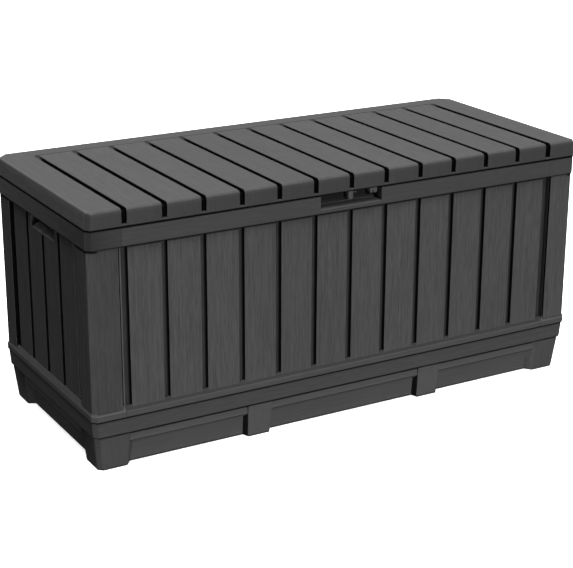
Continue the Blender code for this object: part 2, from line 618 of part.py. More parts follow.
# -------------------------------------------------------------------- screws
def screw(head_at, along, length=0.014):
    """Pan-head screw: head_at is the middle of the head's seat."""
    h = Vector(head_at)
    d = Vector(along)
    body = rod(0.0020, tuple(h - d * 0.0005), tuple(h + d * length), 12)
    union(body, rod(0.0032, tuple(h - d * 0.0024), tuple(h), 16, r2=0.0042))
    return body


# ------------------------------------------------------------- named parts
place("base_tray", base, RESIN)
place("front_panel", front, RESIN)
place("back_panel", back, RESIN)
place("side_panel_left", side_panel(-1), RESIN)
place("side_panel_right", side_panel(1), RESIN)
bpy.data.objects.remove(ring)

place("lid_shell", lid, RESIN, hinge_at, lid_pivot)
place("lid_liner", liner, RESIN_DARK, hinge_at, lid_pivot)
for name, lug in zip(("lock_lug_left", "lock_lug_right"), lugs):
    place(name, lug, RESIN_GREY, hinge_at, lid_pivot)

for name, low, up, pin, x in zip(("left", "centre", "right"), leaf_low, leaf_up, pins, HINGE_AT):
    place("hinge_base_" + name, low, RESIN_DARK, (x, wy(HINGE_Y), wz(HINGE_Z)))
    place("hinge_pin_" + name, pin, STEEL, (x, wy(HINGE_Y), wz(HINGE_Z)))
    place("hinge_leaf_" + name, up, RESIN_DARK, (x, wy(HINGE_Y), wz(HINGE_Z)), lid_pivot)

for side, s in (("left", -1), ("right", 1)):
    for end, rear in (("front", False), ("rear", True)):
        y = 2 * SPLIT_Y - SCREW_Y if rear else SCREW_Y
        for level, z in zip(("upper", "lower"), SCREW_Z):
            seat = s * (SEAM_X - GAP / 2 - SKIN - GAP)
            place("wall_screw_%s_%s_%s" % (side, end, level), screw((seat, y, z), (s, 0, 0), 0.0135), STEEL,
                  (seat, wy(y), wz(z)))

for x, rear in BOTTOM_SCREWS:
    y = floor_screw_y(rear)
    z = Z_PANEL_BOTTOM + SKIN + GAP
    place("base_screw_%s_%s" % ("left" if x < 0 else "right", "rear" if rear else "front"),
          screw((x, y, z), (0, 0, -1), 0.013), STEEL, (x, wy(y), wz(z)))

for i, (x, y) in enumerate(LINER_SCREWS):
    z = Z_LINER_LOW - GAP
    place("liner_screw_%s_%s" % (("left", "centre", "right")[i // 2], ("front", "rear")[i % 2]),
          screw((x, y, z), (0, 0, 1), 0.020), STEEL, (x, wy(y), wz(z)), lid_pivot)

for ob in list(bpy.context.scene.collection.objects):
    bpy.data.objects.remove(ob)
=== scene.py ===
"""Deck storage box: the finished surfaces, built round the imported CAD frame.

Lengths in the geometry below are in plank pitches (P). X is the same as the
frame's, Y runs back from the front slats' face and Z runs up from the lid's
top, and place() turns them into the frame's metres.
"""
import math
import bpy
import bmesh
from mathutils import Matrix, Vector


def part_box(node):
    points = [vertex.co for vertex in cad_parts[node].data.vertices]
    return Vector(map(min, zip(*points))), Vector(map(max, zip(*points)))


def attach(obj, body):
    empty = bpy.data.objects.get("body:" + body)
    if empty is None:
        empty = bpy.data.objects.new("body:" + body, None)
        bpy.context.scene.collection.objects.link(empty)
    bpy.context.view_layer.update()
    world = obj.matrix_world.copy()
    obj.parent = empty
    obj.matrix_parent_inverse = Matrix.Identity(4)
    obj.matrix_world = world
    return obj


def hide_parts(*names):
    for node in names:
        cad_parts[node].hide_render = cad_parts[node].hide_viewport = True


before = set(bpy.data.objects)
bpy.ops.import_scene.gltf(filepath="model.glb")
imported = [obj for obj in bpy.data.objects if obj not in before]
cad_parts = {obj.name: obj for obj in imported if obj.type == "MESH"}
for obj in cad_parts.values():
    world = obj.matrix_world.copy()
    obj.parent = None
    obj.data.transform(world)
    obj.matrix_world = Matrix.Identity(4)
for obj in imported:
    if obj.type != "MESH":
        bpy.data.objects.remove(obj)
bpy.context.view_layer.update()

# ------------------------------------------------------- sizes off the frame
lid_lo, lid_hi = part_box("lid_shell")
P = (lid_hi.x - lid_lo.x) / (2 * 6.960)
H = lid_hi.z
YC = -0.030 * P - lid_lo.y

LID = (6.960, -0.030, 5.860)
RIM = (6.928, -0.022, 5.680)
POST = (6.910, 0.000, 5.660)
SLAT = (6.865, 0.030, 5.630)
LIP = (6.940, -0.012, 5.672)
BAND = (6.915, 0.013, 5.650)
CH, CH_REAR = 0.12, 0.28
SKIN = 0.036
SEAM = 6.0835
GROOVE_W, GROOVE_D = 0.155, 0.085
POST_SIDE, SIDE_WIDE, SIDE_W = 0.730, 0.200, 0.138
Z_LID = -0.4337
GAP = 0.0043
MID = 2.830


def place(x, y, z):
    return Vector((x * P, y * P - YC, z * P + H))


# ------------------------------------------------------------------ materials
def link(tree, a, b):
    tree.links.new(a, b)


def node(tree, kind, **values):
    n = tree.nodes.new(kind)
    for k, v in values.items():
        if k.startswith("_"):
            n.inputs[k[1:].replace("_", " ")].default_value = v
        else:
            setattr(n, k, v)
    return n


def math_node(tree, op, a, b=None, clamp=False):
    n = tree.nodes.new("ShaderNodeMath")
    n.operation = op
    n.use_clamp = clamp
    for i, v in enumerate((a, b)):
        if v is None:
            continue
        if isinstance(v, (int, float)):
            n.inputs[i].default_value = v
        else:
            tree.links.new(v, n.inputs[i])
    return n.outputs[0]


def span(tree, value, lo, hi, a=0.0, b=1.0):
    """Maps value from lo..hi to a..b, clamped."""
    n = tree.nodes.new("ShaderNodeMapRange")
    n.clamp = True
    n.inputs["From Min"].default_value = lo
    n.inputs["From Max"].default_value = hi
    n.inputs["To Min"].default_value = a
    n.inputs["To Max"].default_value = b
    tree.links.new(value, n.inputs["Value"])
    return n.outputs["Result"]


def resin(name, colour, grain="Z", rough=(0.60, 0.76), streak=0.16, bump=0.30, boards=None, spec=0.28, wear=0.14):
    """Moulded resin with an embossed wood grain that runs along grain (X, Y
    or Z, or None for plain). boards is the axis across which each board gets
    its own grain and tone."""
    m = bpy.data.materials.new(name)
    m.use_nodes = True
    t = m.node_tree
    bsdf = t.nodes["Principled BSDF"]
    coord = node(t, "ShaderNodeTexCoord").outputs["Object"]
    sep = node(t, "ShaderNodeSeparateXYZ")
    link(t, coord, sep.inputs[0])
    # one random number for each board
    if boards:
        across = sep.outputs[boards[0]]
        index = math_node(t, "FLOOR", math_node(t, "ADD", math_node(t, "DIVIDE", across, P), boards[1]))
        white = node(t, "ShaderNodeTexWhiteNoise", noise_dimensions="1D")
        link(t, math_node(t, "MULTIPLY", index, 1.37), white.inputs["W"])
        board = white.outputs["Value"]
    else:
        board = None
    fine_along, coarse_along = 26.0, 7.0
    scales = {"X": (1, 0, 0), "Y": (0, 1, 0), "Z": (0, 0, 1), None: (2, 2, 2)}[grain]

    def grain_noise(across_scale, along_scale, detail, distortion=0.0, shift=0.0):
        mp = node(t, "ShaderNodeMapping")
        if grain is None:
            mp.inputs["Scale"].default_value = (across_scale,) * 3
        else:
            mp.inputs["Scale"].default_value = tuple(along_scale if s else across_scale for s in scales)
        link(t, coord, mp.inputs["Vector"])
        if board is not None:
            comb = node(t, "ShaderNodeCombineXYZ")
            for i in range(3):
                link(t, math_node(t, "MULTIPLY", board, 37.0 + 11.0 * i + shift), comb.inputs[i])
            link(t, comb.outputs[0], mp.inputs["Location"])
        else:
            mp.inputs["Location"].default_value = (shift, shift * 0.7, shift * 1.3)
        n = node(t, "ShaderNodeTexNoise", _Scale=1.0, _Detail=detail, _Roughness=0.58, _Distortion=distortion)
        link(t, mp.outputs[0], n.inputs["Vector"])
        return n.outputs["Fac"]

    coarse = grain_noise(150.0, coarse_along, 3.0, 0.35, 3.0)
    fine = grain_noise(620.0, fine_along, 3.0, 0.2, 9.0)
    pebble = node(t, "ShaderNodeTexNoise", _Scale=900.0, _Detail=2.0, _Roughness=0.5)
    link(t, coord, pebble.inputs["Vector"])
    cloud = node(t, "ShaderNodeTexNoise", _Scale=5.0, _Detail=3.0, _Roughness=0.55)
    link(t, coord, cloud.inputs["Vector"])

    # tone: streaks, boards, broad clouding, and lighter rubbed edges and painted light
    k = math_node(t, "ADD", span(t, coarse, 0.30, 0.70, 1.0 - 0.5 * streak, 1.0 + 0.5 * streak),
                  span(t, fine, 0.30, 0.72, -1.2 * streak, 1.2 * streak))
    k = math_node(t, "MULTIPLY", k, span(t, cloud.outputs["Fac"], 0.3, 0.7, 0.955, 1.045))
    if board is not None:
        k = math_node(t, "MULTIPLY", k, span(t, board, 0.0, 1.0, 0.965, 1.035))
    # the per-point attribute: above zero rubbed-edge wear and painted light, below zero painted shade
    attr = node(t, "ShaderNodeAttribute", attribute_name="wear")
    rub_and_shade = node(t, "ShaderNodeTexNoise", _Scale=38.0, _Detail=4.0, _Roughness=0.65)
    link(t, coord, rub_and_shade.inputs["Vector"])
    rubbed_and_painted_light = math_node(t, "MULTIPLY", math_node(t, "MAXIMUM", attr.outputs["Fac"], 0.0),
                     span(t, rub_and_shade.outputs["Fac"], 0.38, 0.66, 0.25, 1.0))
    k = math_node(t, "MULTIPLY", k, math_node(t, "ADD", math_node(t, "MULTIPLY", rubbed_and_painted_light, wear), 1.0))
    # painted shade: where the attribute is below zero, the unlit bottoms of grooves and joints and other places out of
    # the light are drawn darker
    deep = math_node(t, "MULTIPLY", math_node(t, "MINIMUM", attr.outputs["Fac"], 0.0),
                     span(t, rub_and_shade.outputs["Fac"], 0.30, 0.70, 0.975, 1.0))
    k = math_node(t, "MULTIPLY", k, math_node(t, "MAXIMUM", math_node(t, "ADD", deep, 1.0), 0.03))
    mix = node(t, "ShaderNodeVectorMath", operation="SCALE")
    mix.inputs[0].default_value = colour
    link(t, k, mix.inputs["Scale"])
    link(t, mix.outputs[0], bsdf.inputs["Base Color"])

    # roughness: raised grain is slightly polished, valleys and rubbed edges duller
    r = span(t, math_node(t, "ADD", math_node(t, "MULTIPLY", coarse, 0.6), math_node(t, "MULTIPLY", cloud.outputs["Fac"], 0.4)),
             0.34, 0.66, rough[1], rough[0])
    r = math_node(t, "ADD", r, math_node(t, "MULTIPLY", rubbed_and_painted_light, 0.05), clamp=True)
    link(t, r, bsdf.inputs["Roughness"])
    # the painted shade also dims the specular reflection
    link(t, math_node(t, "MULTIPLY", math_node(t, "ADD", deep, 1.0, clamp=True), spec), bsdf.inputs["Specular IOR Level"])

    h = math_node(t, "ADD", math_node(t, "MULTIPLY", coarse, 0.55), math_node(t, "MULTIPLY", fine, 0.35))
    h = math_node(t, "ADD", h, math_node(t, "MULTIPLY", pebble.outputs["Fac"], 0.10))
    b = node(t, "ShaderNodeBump", _Strength=bump, _Distance=0.0010)
    link(t, h, b.inputs["Height"])
    link(t, b.outputs["Normal"], bsdf.inputs["Normal"])
    return m


def zinc(name):
    m = bpy.data.materials.new(name)
    m.use_nodes = True
    t = m.node_tree
    bsdf = t.nodes["Principled BSDF"]
    coord = node(t, "ShaderNodeTexCoord").outputs["Object"]
    spots = node(t, "ShaderNodeTexVoronoi", _Scale=420.0)
    link(t, coord, spots.inputs["Vector"])
    fog = node(t, "ShaderNodeTexNoise", _Scale=160.0, _Detail=4.0)
    link(t, coord, fog.inputs["Vector"])
    k = math_node(t, "MULTIPLY", span(t, spots.outputs["Distance"], 0.0, 0.8, 1.08, 0.9),
                  span(t, fog.outputs["Fac"], 0.3, 0.7, 0.85, 1.1))
    mix = node(t, "ShaderNodeVectorMath", operation="SCALE")
    mix.inputs[0].default_value = (0.50, 0.50, 0.48)
    link(t, k, mix.inputs["Scale"])
    link(t, mix.outputs[0], bsdf.inputs["Base Color"])
    bsdf.inputs["Metallic"].default_value = 1.0
    link(t, span(t, fog.outputs["Fac"], 0.3, 0.7, 0.28, 0.46), bsdf.inputs["Roughness"])
    b = node(t, "ShaderNodeBump", _Strength=0.2, _Distance=0.0003)
    link(t, fog.outputs["Fac"], b.inputs["Height"])
    link(t, b.outputs["Normal"], bsdf.inputs["Normal"])
    return m




def tone(k):
    return (0.0430 * k, 0.0430 * k, 0.0438 * k)


# one resin throughout: tone factors that differ by part and face direction are painted light and shade, darker on the
# lid's front, long rims and side slats, lighter on the lid's ends, rim ends, skirt and middle feet
MATS = {
    "lid_planks": resin("resin_lid_planks", tone(1.0), "Y", boards=("X", 0.0), streak=0.15),
    "lid_edge_y": resin("resin_lid_edge_painted_light", tone(1.20), "Y", streak=0.20),
    "lid_edge_x": resin("resin_lid_border", tone(0.97), "X", streak=0.15),
    "lid_front": resin("resin_lid_front_painted_shade", tone(0.63), "Z", boards=("X", 0.0), streak=0.10, bump=0.2),
    "slats_x": resin("resin_front_slats", tone(0.97), "Z", boards=("X", 0.0), streak=0.24),
    "slats_y": resin("resin_side_slats_painted_shade", tone(0.82), "Z", streak=0.30),
    "rim_x": resin("resin_rim_long_painted_shade", tone(0.73), "X", streak=0.11, bump=0.18),
    "rim_y": resin("resin_rim_end_painted_light", tone(1.36), "Y", streak=0.18, bump=0.18),
    "band_x": resin("resin_band_long", tone(0.95), "X", streak=0.11, bump=0.18),
    "band_y": resin("resin_band_end", tone(0.98), "Y", streak=0.14, bump=0.18),
    "skirt_x": resin("resin_skirt_long_painted_light", tone(1.42), "X", streak=0.10, bump=0.18),
    "skirt_y": resin("resin_skirt_end_painted_light", tone(1.20), "Y", streak=0.12, bump=0.18),
    "foot_mid": resin("resin_foot_middle_painted_light", tone(1.36), "Z", streak=0.10, bump=0.2),
    "foot": resin("resin_foot", tone(1.06), "Z", streak=0.10, bump=0.2),
    "plain": resin("resin_plain", (0.034, 0.034, 0.0347), None, rough=(0.50, 0.64), streak=0.06, bump=0.12),
    "hinge": resin("resin_hinge", (0.030, 0.030, 0.031), None, rough=(0.42, 0.55), streak=0.05, bump=0.1),
    "lug": resin("resin_lug", (0.068, 0.068, 0.069), None, rough=(0.36, 0.48), streak=0.05, bump=0.08),
    "zinc": zinc("steel_zinc"),
}


# ------------------------------------------------------------- mesh gathering
class Piece:
    """Gathers solids, in metres, into one mesh object."""

    def __init__(self):
        self.v, self.f, self.m, self.w = [], [], [], []

    def add(self, solid, mat):
        v, f, w = solid
        base = len(self.v)
        self.v += v
        self.w += w
        for i, face in enumerate(f):
            self.f.append([base + k for k in face])
            if callable(mat):
                pts = [v[k] for k in face]
                n = (pts[1] - pts[0]).cross(pts[2] - pts[1])
                for j in range(3, len(pts)):
                    n += (pts[j - 1] - pts[0]).cross(pts[j] - pts[0])
                self.m.append(mat(sum(pts, Vector()) / len(pts), n.normalized() if n.length else n))
            else:
                self.m.append(mat)
        return self

    def build(self, name, body, slot, nodes, flat=32, weighted=True):
        me = bpy.data.meshes.new(name)
        me.from_pydata([tuple(p) for p in self.v], [], self.f)
        keys = []
        for k in self.m:
            if k not in keys:
                keys.append(k)
        for k in keys:
            me.materials.append(MATS[k])
        me.polygons.foreach_set("material_index", [keys.index(k) for k in self.m])
        attr = me.attributes.new("wear", "FLOAT", "POINT")
        attr.data.foreach_set("value", [float(x) for x in self.w])
        me.polygons.foreach_set("use_smooth", [True] * len(me.polygons))
        me.update()
        me.set_sharp_from_angle(angle=math.radians(flat))
        ob = bpy.data.objects.new(name, me)
        bpy.context.scene.collection.objects.link(ob)
        if weighted:
            mod = ob.modifiers.new("weighted", "WEIGHTED_NORMAL")
            mod.keep_sharp = True
            mod.weight = 80
        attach(ob, body)
        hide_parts(*nodes)
        return ob


def new_bm():
    bm = bmesh.new()
    bm.verts.layers.float.new("wear")
    return bm


def harvest(bm):
    layer = bm.verts.layers.float.get("wear")
    bmesh.ops.recalc_face_normals(bm, faces=bm.faces)
    bm.verts.index_update()
    v = [x.co.copy() for x in bm.verts]
    w = [x[layer] if layer else 0.0 for x in bm.verts]
    f = [[q.index for q in face.verts] for face in bm.faces]
    bm.free()
    return v, f, w


def soften(bm, edges, r, seg=2):
    """Rounds edges by r (in P) and marks the middle of each rounding."""
    layer = bm.verts.layers.float["wear"]
    made = bmesh.ops.bevel(bm, geom=list(edges), offset=r * P, offset_type="OFFSET", segments=seg, profile=0.5,
                           affect="EDGES", clamp_overlap=True)
    faces = set(made["faces"])
    for v in bm.verts:
        if v.link_faces and all(f in faces for f in v.link_faces):
            v[layer] = 1.0


def soft_box(x0, x1, y0, y1, z0, z1, r=0.012, seg=2):
    bm = new_bm()
    bmesh.ops.create_cube(bm, size=1.0)
    a, b = place(x0, y0, z0), place(x1, y1, z1)
    bmesh.ops.scale(bm, vec=b - a, verts=bm.verts)
    bmesh.ops.translate(bm, vec=(a + b) / 2, verts=bm.verts)
    soften(bm, bm.edges, r, seg)
    return harvest(bm)


def soft_hull(points, r=0.02, seg=2):
    """Convex solid through the points, with rounded edges."""
    bm = new_bm()
    for p in points:
        bm.verts.new(place(*p))
    bmesh.ops.convex_hull(bm, input=bm.verts)
    loose = [v for v in bm.verts if not v.link_faces]
    bmesh.ops.delete(bm, geom=loose, context="VERTS")
    bmesh.ops.dissolve_limit(bm, angle_limit=math.radians(2.5), verts=bm.verts, edges=bm.edges)
    sharp = [e for e in bm.edges if len(e.link_faces) == 2 and e.calc_face_angle(0) > math.radians(12)]
    soften(bm, sharp, r, seg)
    return harvest(bm)


def fillet(poly, radius, seg=3, closed=True):
    """Rounded corners for a polygon or an open line. Gives (x, y, wear)."""
    out = []
    n = len(poly)
    area = sum(poly[i - 1][0] * poly[i][1] - poly[i][0] * poly[i - 1][1] for i in range(n))
    for i, p in enumerate(poly):
        b = Vector(p[:2])
        if not closed and i in (0, n - 1):
            out.append((b.x, b.y, 0.0))
            continue
        a, c = Vector(poly[i - 1][:2]), Vector(poly[(i + 1) % n][:2])
        u, v = a - b, c - b
        lu, lv = u.length, v.length
        ang = u.angle(v)
        turn = (b - a).x * (c - b).y - (b - a).y * (c - b).x
        convex = turn * area > 0
        r = radius if not callable(radius) else radius(b, convex)
        dark = poly[i][2] if len(poly[i]) > 2 else None
        if ang > math.radians(179):
            out.append((b.x, b.y, dark or 0.0))
            continue
        t = min(r / math.tan(ang / 2), 0.45 * lu, 0.45 * lv)
        p0, p1 = b + u / lu * t, b + v / lv * t
        for k in range(seg + 1):
            s = k / seg
            q = p0 * (1 - s) ** 2 + b * (2 * s * (1 - s)) + p1 * s * s
            out.append((q.x, q.y, dark if dark is not None else 1.0 if convex and 0 < k < seg else 0.0))
    return out


def extrude_line(outer, inner, z0, z1):
    """Wall between an outer and an inner plan line (same direction)."""
    line = outer + list(reversed(inner))
    n = len(line)
    v = [place(x, y, z0) for x, y, _ in line] + [place(x, y, z1) for x, y, _ in line]
    w = [k for _, _, k in line] * 2
    f = [[i, (i + 1) % n, n + (i + 1) % n, n + i] for i in range(n)]
    f += [list(range(n - 1, -1, -1)), list(range(n, 2 * n))]
    return v, f, w


def bridge(loops, closed_path, closed_profile, wear=None):
    """loops[k][j]: stations along the path, points round the profile."""
    n, m = len(loops), len(loops[0])
    v = [p for loop in loops for p in loop]
    w = [float(x) for loop in (wear or [[0] * m] * n) for x in loop]
    f = []
    for k in range(n if closed_path else n - 1):
        for j in range(m if closed_profile else m - 1):
            a, b = k * m + j, k * m + (j + 1) % m
            c, d = ((k + 1) % n) * m + (j + 1) % m, ((k + 1) % n) * m + j
            f.append([a, b, c, d])
    return v, f, w


def cleaned(solid):
    """Consistent outward normals for a hand-built solid."""
    v, f, w = solid
    bm = new_bm()
    layer = bm.verts.layers.float["wear"]
    vs = []
    for p, k in zip(v, w):
        q = bm.verts.new(p)
        q[layer] = k
        vs.append(q)
    for face in f:
        if len(set(face)) > 2:
            bm.faces.new([vs[i] for i in face])
    return harvest(bm)


def cut_level(solid, z):
    """Adds a row of points round a solid at one height."""
    v, f, w = solid
    bm = new_bm()
    layer = bm.verts.layers.float["wear"]
    vs = []
    for p, k in zip(v, w):
        q = bm.verts.new(p)
        q[layer] = k
        vs.append(q)
    for face in f:
        bm.faces.new([vs[i] for i in face])
    bmesh.ops.bisect_plane(bm, geom=list(bm.verts) + list(bm.edges) + list(bm.faces), dist=1e-6,
                           plane_co=place(0, 0, z), plane_no=Vector((0, 0, 1)))
    return harvest(bm)


def ring_points(size, inset, cf=CH, cr=CH, rad=0.03):
    """Closed chamfered outline, counter-clockwise, moved inwards by inset."""
    hx, f, r = size[0] - inset, size[1] + inset, size[2] - inset
    a, b = max(cf - 0.586 * inset, 0.012), max(cr - 0.586 * inset, 0.012)
    pts = [(-hx + a, f), (hx - a, f), (hx, f + a), (hx, r - b), (hx - b, r), (-hx + b, r), (-hx, r - b), (-hx, f + a)]
    return [(x, y) for x, y, _ in fillet(pts, rad, 3)]


def end_points(size, inset, s, cf=CH, cr=CH, rad=0.03):
    """Open outline round one end (s = -1 left, +1 right) from front seam to rear seam."""
    hx, f, r = size[0] - inset, size[1] + inset, size[2] - inset
    a, b = max(cf - 0.586 * inset, 0.012), max(cr - 0.586 * inset, 0.012)
    seam = SEAM + GAP / 2
    pts = [(seam, f), (seam + 0.006, f), (hx - a, f), (hx, f + a), (hx, r - b), (hx - b, r), (seam + 0.006, r), (seam, r)]
    out = [pts[0], pts[1]] + [(x, y) for x, y, _ in fillet(pts[1:-1], rad, 3, closed=False)[1:-1]] + [pts[-2], pts[-1]]
    return [(s * x, y) for x, y in out]


def bar_points(size, inset, x0, x1, rear):
    y = size[2] - inset if rear else size[1] + inset
    return [(x0, y), (x0 + 0.006, y), (x1 - 0.006, y), (x1, y)]


def sweep(path, profile, closed=False):
    """Sweeps a closed (inset, z, wear) profile along path(inset)."""
    ci = sum(p[0] for p in profile) / len(profile)
    cz = sum(p[1] for p in profile) / len(profile)
    lines = [path(p[0]) for p in profile]
    n = len(lines[0])
    loops, wear = [], []
    for k in range(n):
        ring, ws = [], []
        for j, p in enumerate(profile):
            x, y = lines[j][k]
            z = p[1]
            if not closed and k in (0, n - 1):
                # the very end is drawn in a little, so that its edge is rounded
                ins = p[0] + (0.005 if p[0] < ci else -0.005)
                z += -0.005 if z > cz else 0.005
                x, y = path(ins)[k]
            ring.append(place(x, y, z))
            ws.append(p[2])
        loops.append(ring)
        wear.append(ws)
    v, f, w = bridge(loops, closed, True, wear)
    if not closed:
        m = len(profile)
        f.append(list(range(m)))
        f.append(list(range((n - 1) * m, n * m)))
    return cleaned((v, f, w))


def stack(size_loops):
    """Solid from a pile of closed loops: [(points, z, wear)], capped at both ends."""
    loops = [[place(x, y, z) for x, y in pts] for pts, z, _ in size_loops]
    wear = [[k] * len(loops[0]) for _, _, k in size_loops]
    v, f, w = bridge(loops, False, False, wear)
    m, n = len(loops[0]), len(loops)
    # close each loop
    for k in range(n - 1):
        a, b = k * m + m - 1, k * m
        f.append([a, b, b + m, a + m])
    f.append(list(range(m)))
    f.append(list(range((n - 1) * m, n * m)))
    return cleaned((v, f, w))


def rod(r, a, b, seg=24, soft=0.0):
    """Round bar between two points (P), r in metres."""
    a, b = place(*a), place(*b)
    bm = new_bm()
    bmesh.ops.create_cone(bm, cap_ends=True, segments=seg, radius1=r, radius2=r, depth=(b - a).length)
    turn = Vector((0, 0, 1)).rotation_difference((b - a).normalized()).to_matrix().to_4x4()
    bmesh.ops.transform(bm, matrix=Matrix.Translation((a + b) / 2) @ turn, verts=bm.verts)
    if soft:
        rims = [e for e in bm.edges if e.calc_face_angle(0) > 1.0]
        soften(bm, rims, soft / P, 2)
    return harvest(bm)


# ------------------------------------------------- solids that need a Boolean
def to_object(solid):
    v, f, _ = solid
    me = bpy.data.meshes.new("tmp")
    me.from_pydata([tuple(p) for p in v], [], f)
    ob = bpy.data.objects.new("tmp", me)
    bpy.context.scene.collection.objects.link(ob)
    return ob


def boolean(ob, other, operation):
    mod = ob.modifiers.new("b", "BOOLEAN")
    mod.operation = operation
    mod.solver = "EXACT"
    mod.object = other
    deps = bpy.context.evaluated_depsgraph_get()
    me = bpy.data.meshes.new_from_object(ob.evaluated_get(deps))
    ob.modifiers.clear()
    ob.data = me
    bpy.data.objects.remove(other)
    return ob


def from_object(ob, mouth=None, r=0.012, shade=None, levels=(), depths=(), lengths=()):
    """Back to a solid. mouth(edge) picks the edges to round, and shade(x, y, z) gives the painted shade and painted
    light of the points, mostly inside hollows. levels, depths and lengths are the places along Z, X and Y that get a
    row of points of their own."""
    bm = new_bm()
    bm.from_mesh(ob.data)
    bmesh.ops.remove_doubles(bm, verts=bm.verts, dist=2e-6)
    bmesh.ops.dissolve_limit(bm, angle_limit=math.radians(0.3), verts=bm.verts, edges=bm.edges)
    if mouth:
        soften(bm, [e for e in bm.edges if mouth(e)], r, 2)
    bpy.data.objects.remove(ob)
    rows = [(Vector((0, 0, 1)), place(0, 0, z)) for z in levels] + [(Vector((1, 0, 0)), place(x, 0, 0)) for x in depths]
    rows += [(Vector((0, 1, 0)), place(0, y, 0)) for y in lengths]
    for along, at in rows:
        bmesh.ops.bisect_plane(bm, geom=list(bm.verts) + list(bm.edges) + list(bm.faces), dist=1e-6, plane_co=at, plane_no=along)
    if shade:
        layer = bm.verts.layers.float["wear"]
        for q in bm.verts:
            k = shade(q.co.x / P, (q.co.y + YC) / P, (q.co.z - H) / P)
            if k is not None:
                q[layer] = k
    return harvest(bm)


def prism_y(points, y0, y1):
    """Polygon in X, Z drawn along Y."""
    n = len(points)
    v = [place(x, y0, z) for x, z in points] + [place(x, y1, z) for x, z in points]
    f = [[i, (i + 1) % n, n + (i + 1) % n, n + i] for i in range(n)] + [list(range(n)), list(range(n, 2 * n))]
    return cleaned((v, f, [0.0] * (2 * n)))


def facing(along_x, along_y, top=None):
    """Picks the material of a face by the way it looks; the materials for faces along X and along Y differ in tone as
    painted light and shade.
    """
    def pick(c, n):
        if top and abs(n.z) > 0.8:
            return top
        return along_x if abs(n.y) >= 0.9 * abs(n.x) else along_y
    return pick


# -------------------------------------------------------------------- profiles
def rounded_bar(z_top, z_low, thick, r=0.013):
    """Upright bar section with rounded corners, outer face at inset 0."""
    k = 0.3 * r
    return [(0, z_low + r, 0), (0, z_top - r, 0), (k, z_top - k, 1), (r, z_top, 0),
            (thick - r, z_top, 0), (thick - k, z_top - k, 1), (thick, z_top - r, 0), (thick, z_low + r, 0),
            (thick - k, z_low + k, 0), (thick - r, z_low, 0), (r, z_low, 0), (k, z_low + k, 1)]


# the outer top edge lies in the joint under the lid, and its points carry painted shadow there; the lower edge carries
# a painted shadow line
RIM_SECTION = [(0, -0.872, 0), (0, -0.482, 0), (0, -0.470, -0.5), (0.0010, -0.454, -0.92), (0.0055, -0.4435, -0.97), (0.016, -0.438, -0.97)] + \
    rounded_bar(-0.438, -0.912, 0.36)[4:-2] + [(0.013, -0.912, -0.95), (0.004, -0.908, -0.93), (0.0, -0.898, -0.85), (0.0, -0.885, -0.40)]
RIM_LEVELS = (-0.872, -0.482, -0.470, -0.454, -0.898, -0.885)
def ledge_section(slope):
    """Foot of a wall: a lip, and above it a slope up to the slats. slope is the painted shade on that slope, and the
    joint below the lip is darkened as painted shade.
    """
    return [(0, -5.056, 0), (0, -4.936, 0), (0.0035, -4.9265, 0.6), (0.011, -4.917, slope), (0.058, -4.806, slope),
            (0.066, -4.795, slope), (0.110, -4.795, -0.9), (0.115, -5.045, 0), (0.320, -5.047, 0), (0.320, -5.087, 0),
            (0.014, -5.087, -0.96), (0.004, -5.083, -0.95), (0.0005, -5.070, -0.88)]


# ----------------------------------------------------------------- wall slats
# painted shade on the floors and walls of the grooves
FLOOR_SHADE, WALL_SHADE = -0.52, -0.97


def slat_radius(b, convex):
    return 0.016 if convex else 0.007


def front_line(o, rear):
    """Plan line of a long wall from the left seam to the right one."""
    d = -1 if rear else 1
    face = SLAT[2] if rear else SLAT[1]
    deep = face + d * GROOVE_D
    w = GROOVE_W / 2
    s = SEAM - GAP / 2
    pts = [(-s, deep + d * o)]
    if o == 0:
        pts[0] = (-s, deep, FLOOR_SHADE)
    for k in range(-6, 7):
        if o:
            if k > -6:
                pts += [(k - w - o, face + d * o), (k - w - o, deep + d * o)]
            if k < 6:
                pts += [(k + w + o, deep + d * o), (k + w + o, face + d * o)]
            continue
        if k > -6:
            pts += [(k - w, face), (k - w, face + d * 0.014, WALL_SHADE * 0.9), (k - w, deep, WALL_SHADE),
                    (k - w + 0.030, deep, FLOOR_SHADE)]
        if k < 6:
            pts += [(k + w - 0.060, deep, FLOOR_SHADE), (k + w - 0.032, deep, WALL_SHADE * 0.9), (k + w, deep, WALL_SHADE),
                    (k + w, face + d * 0.014, WALL_SHADE * 0.9), (k + w, face)]
    pts.append((s, deep + d * o, FLOOR_SHADE) if o == 0 else (s, deep + d * o))
    return pts


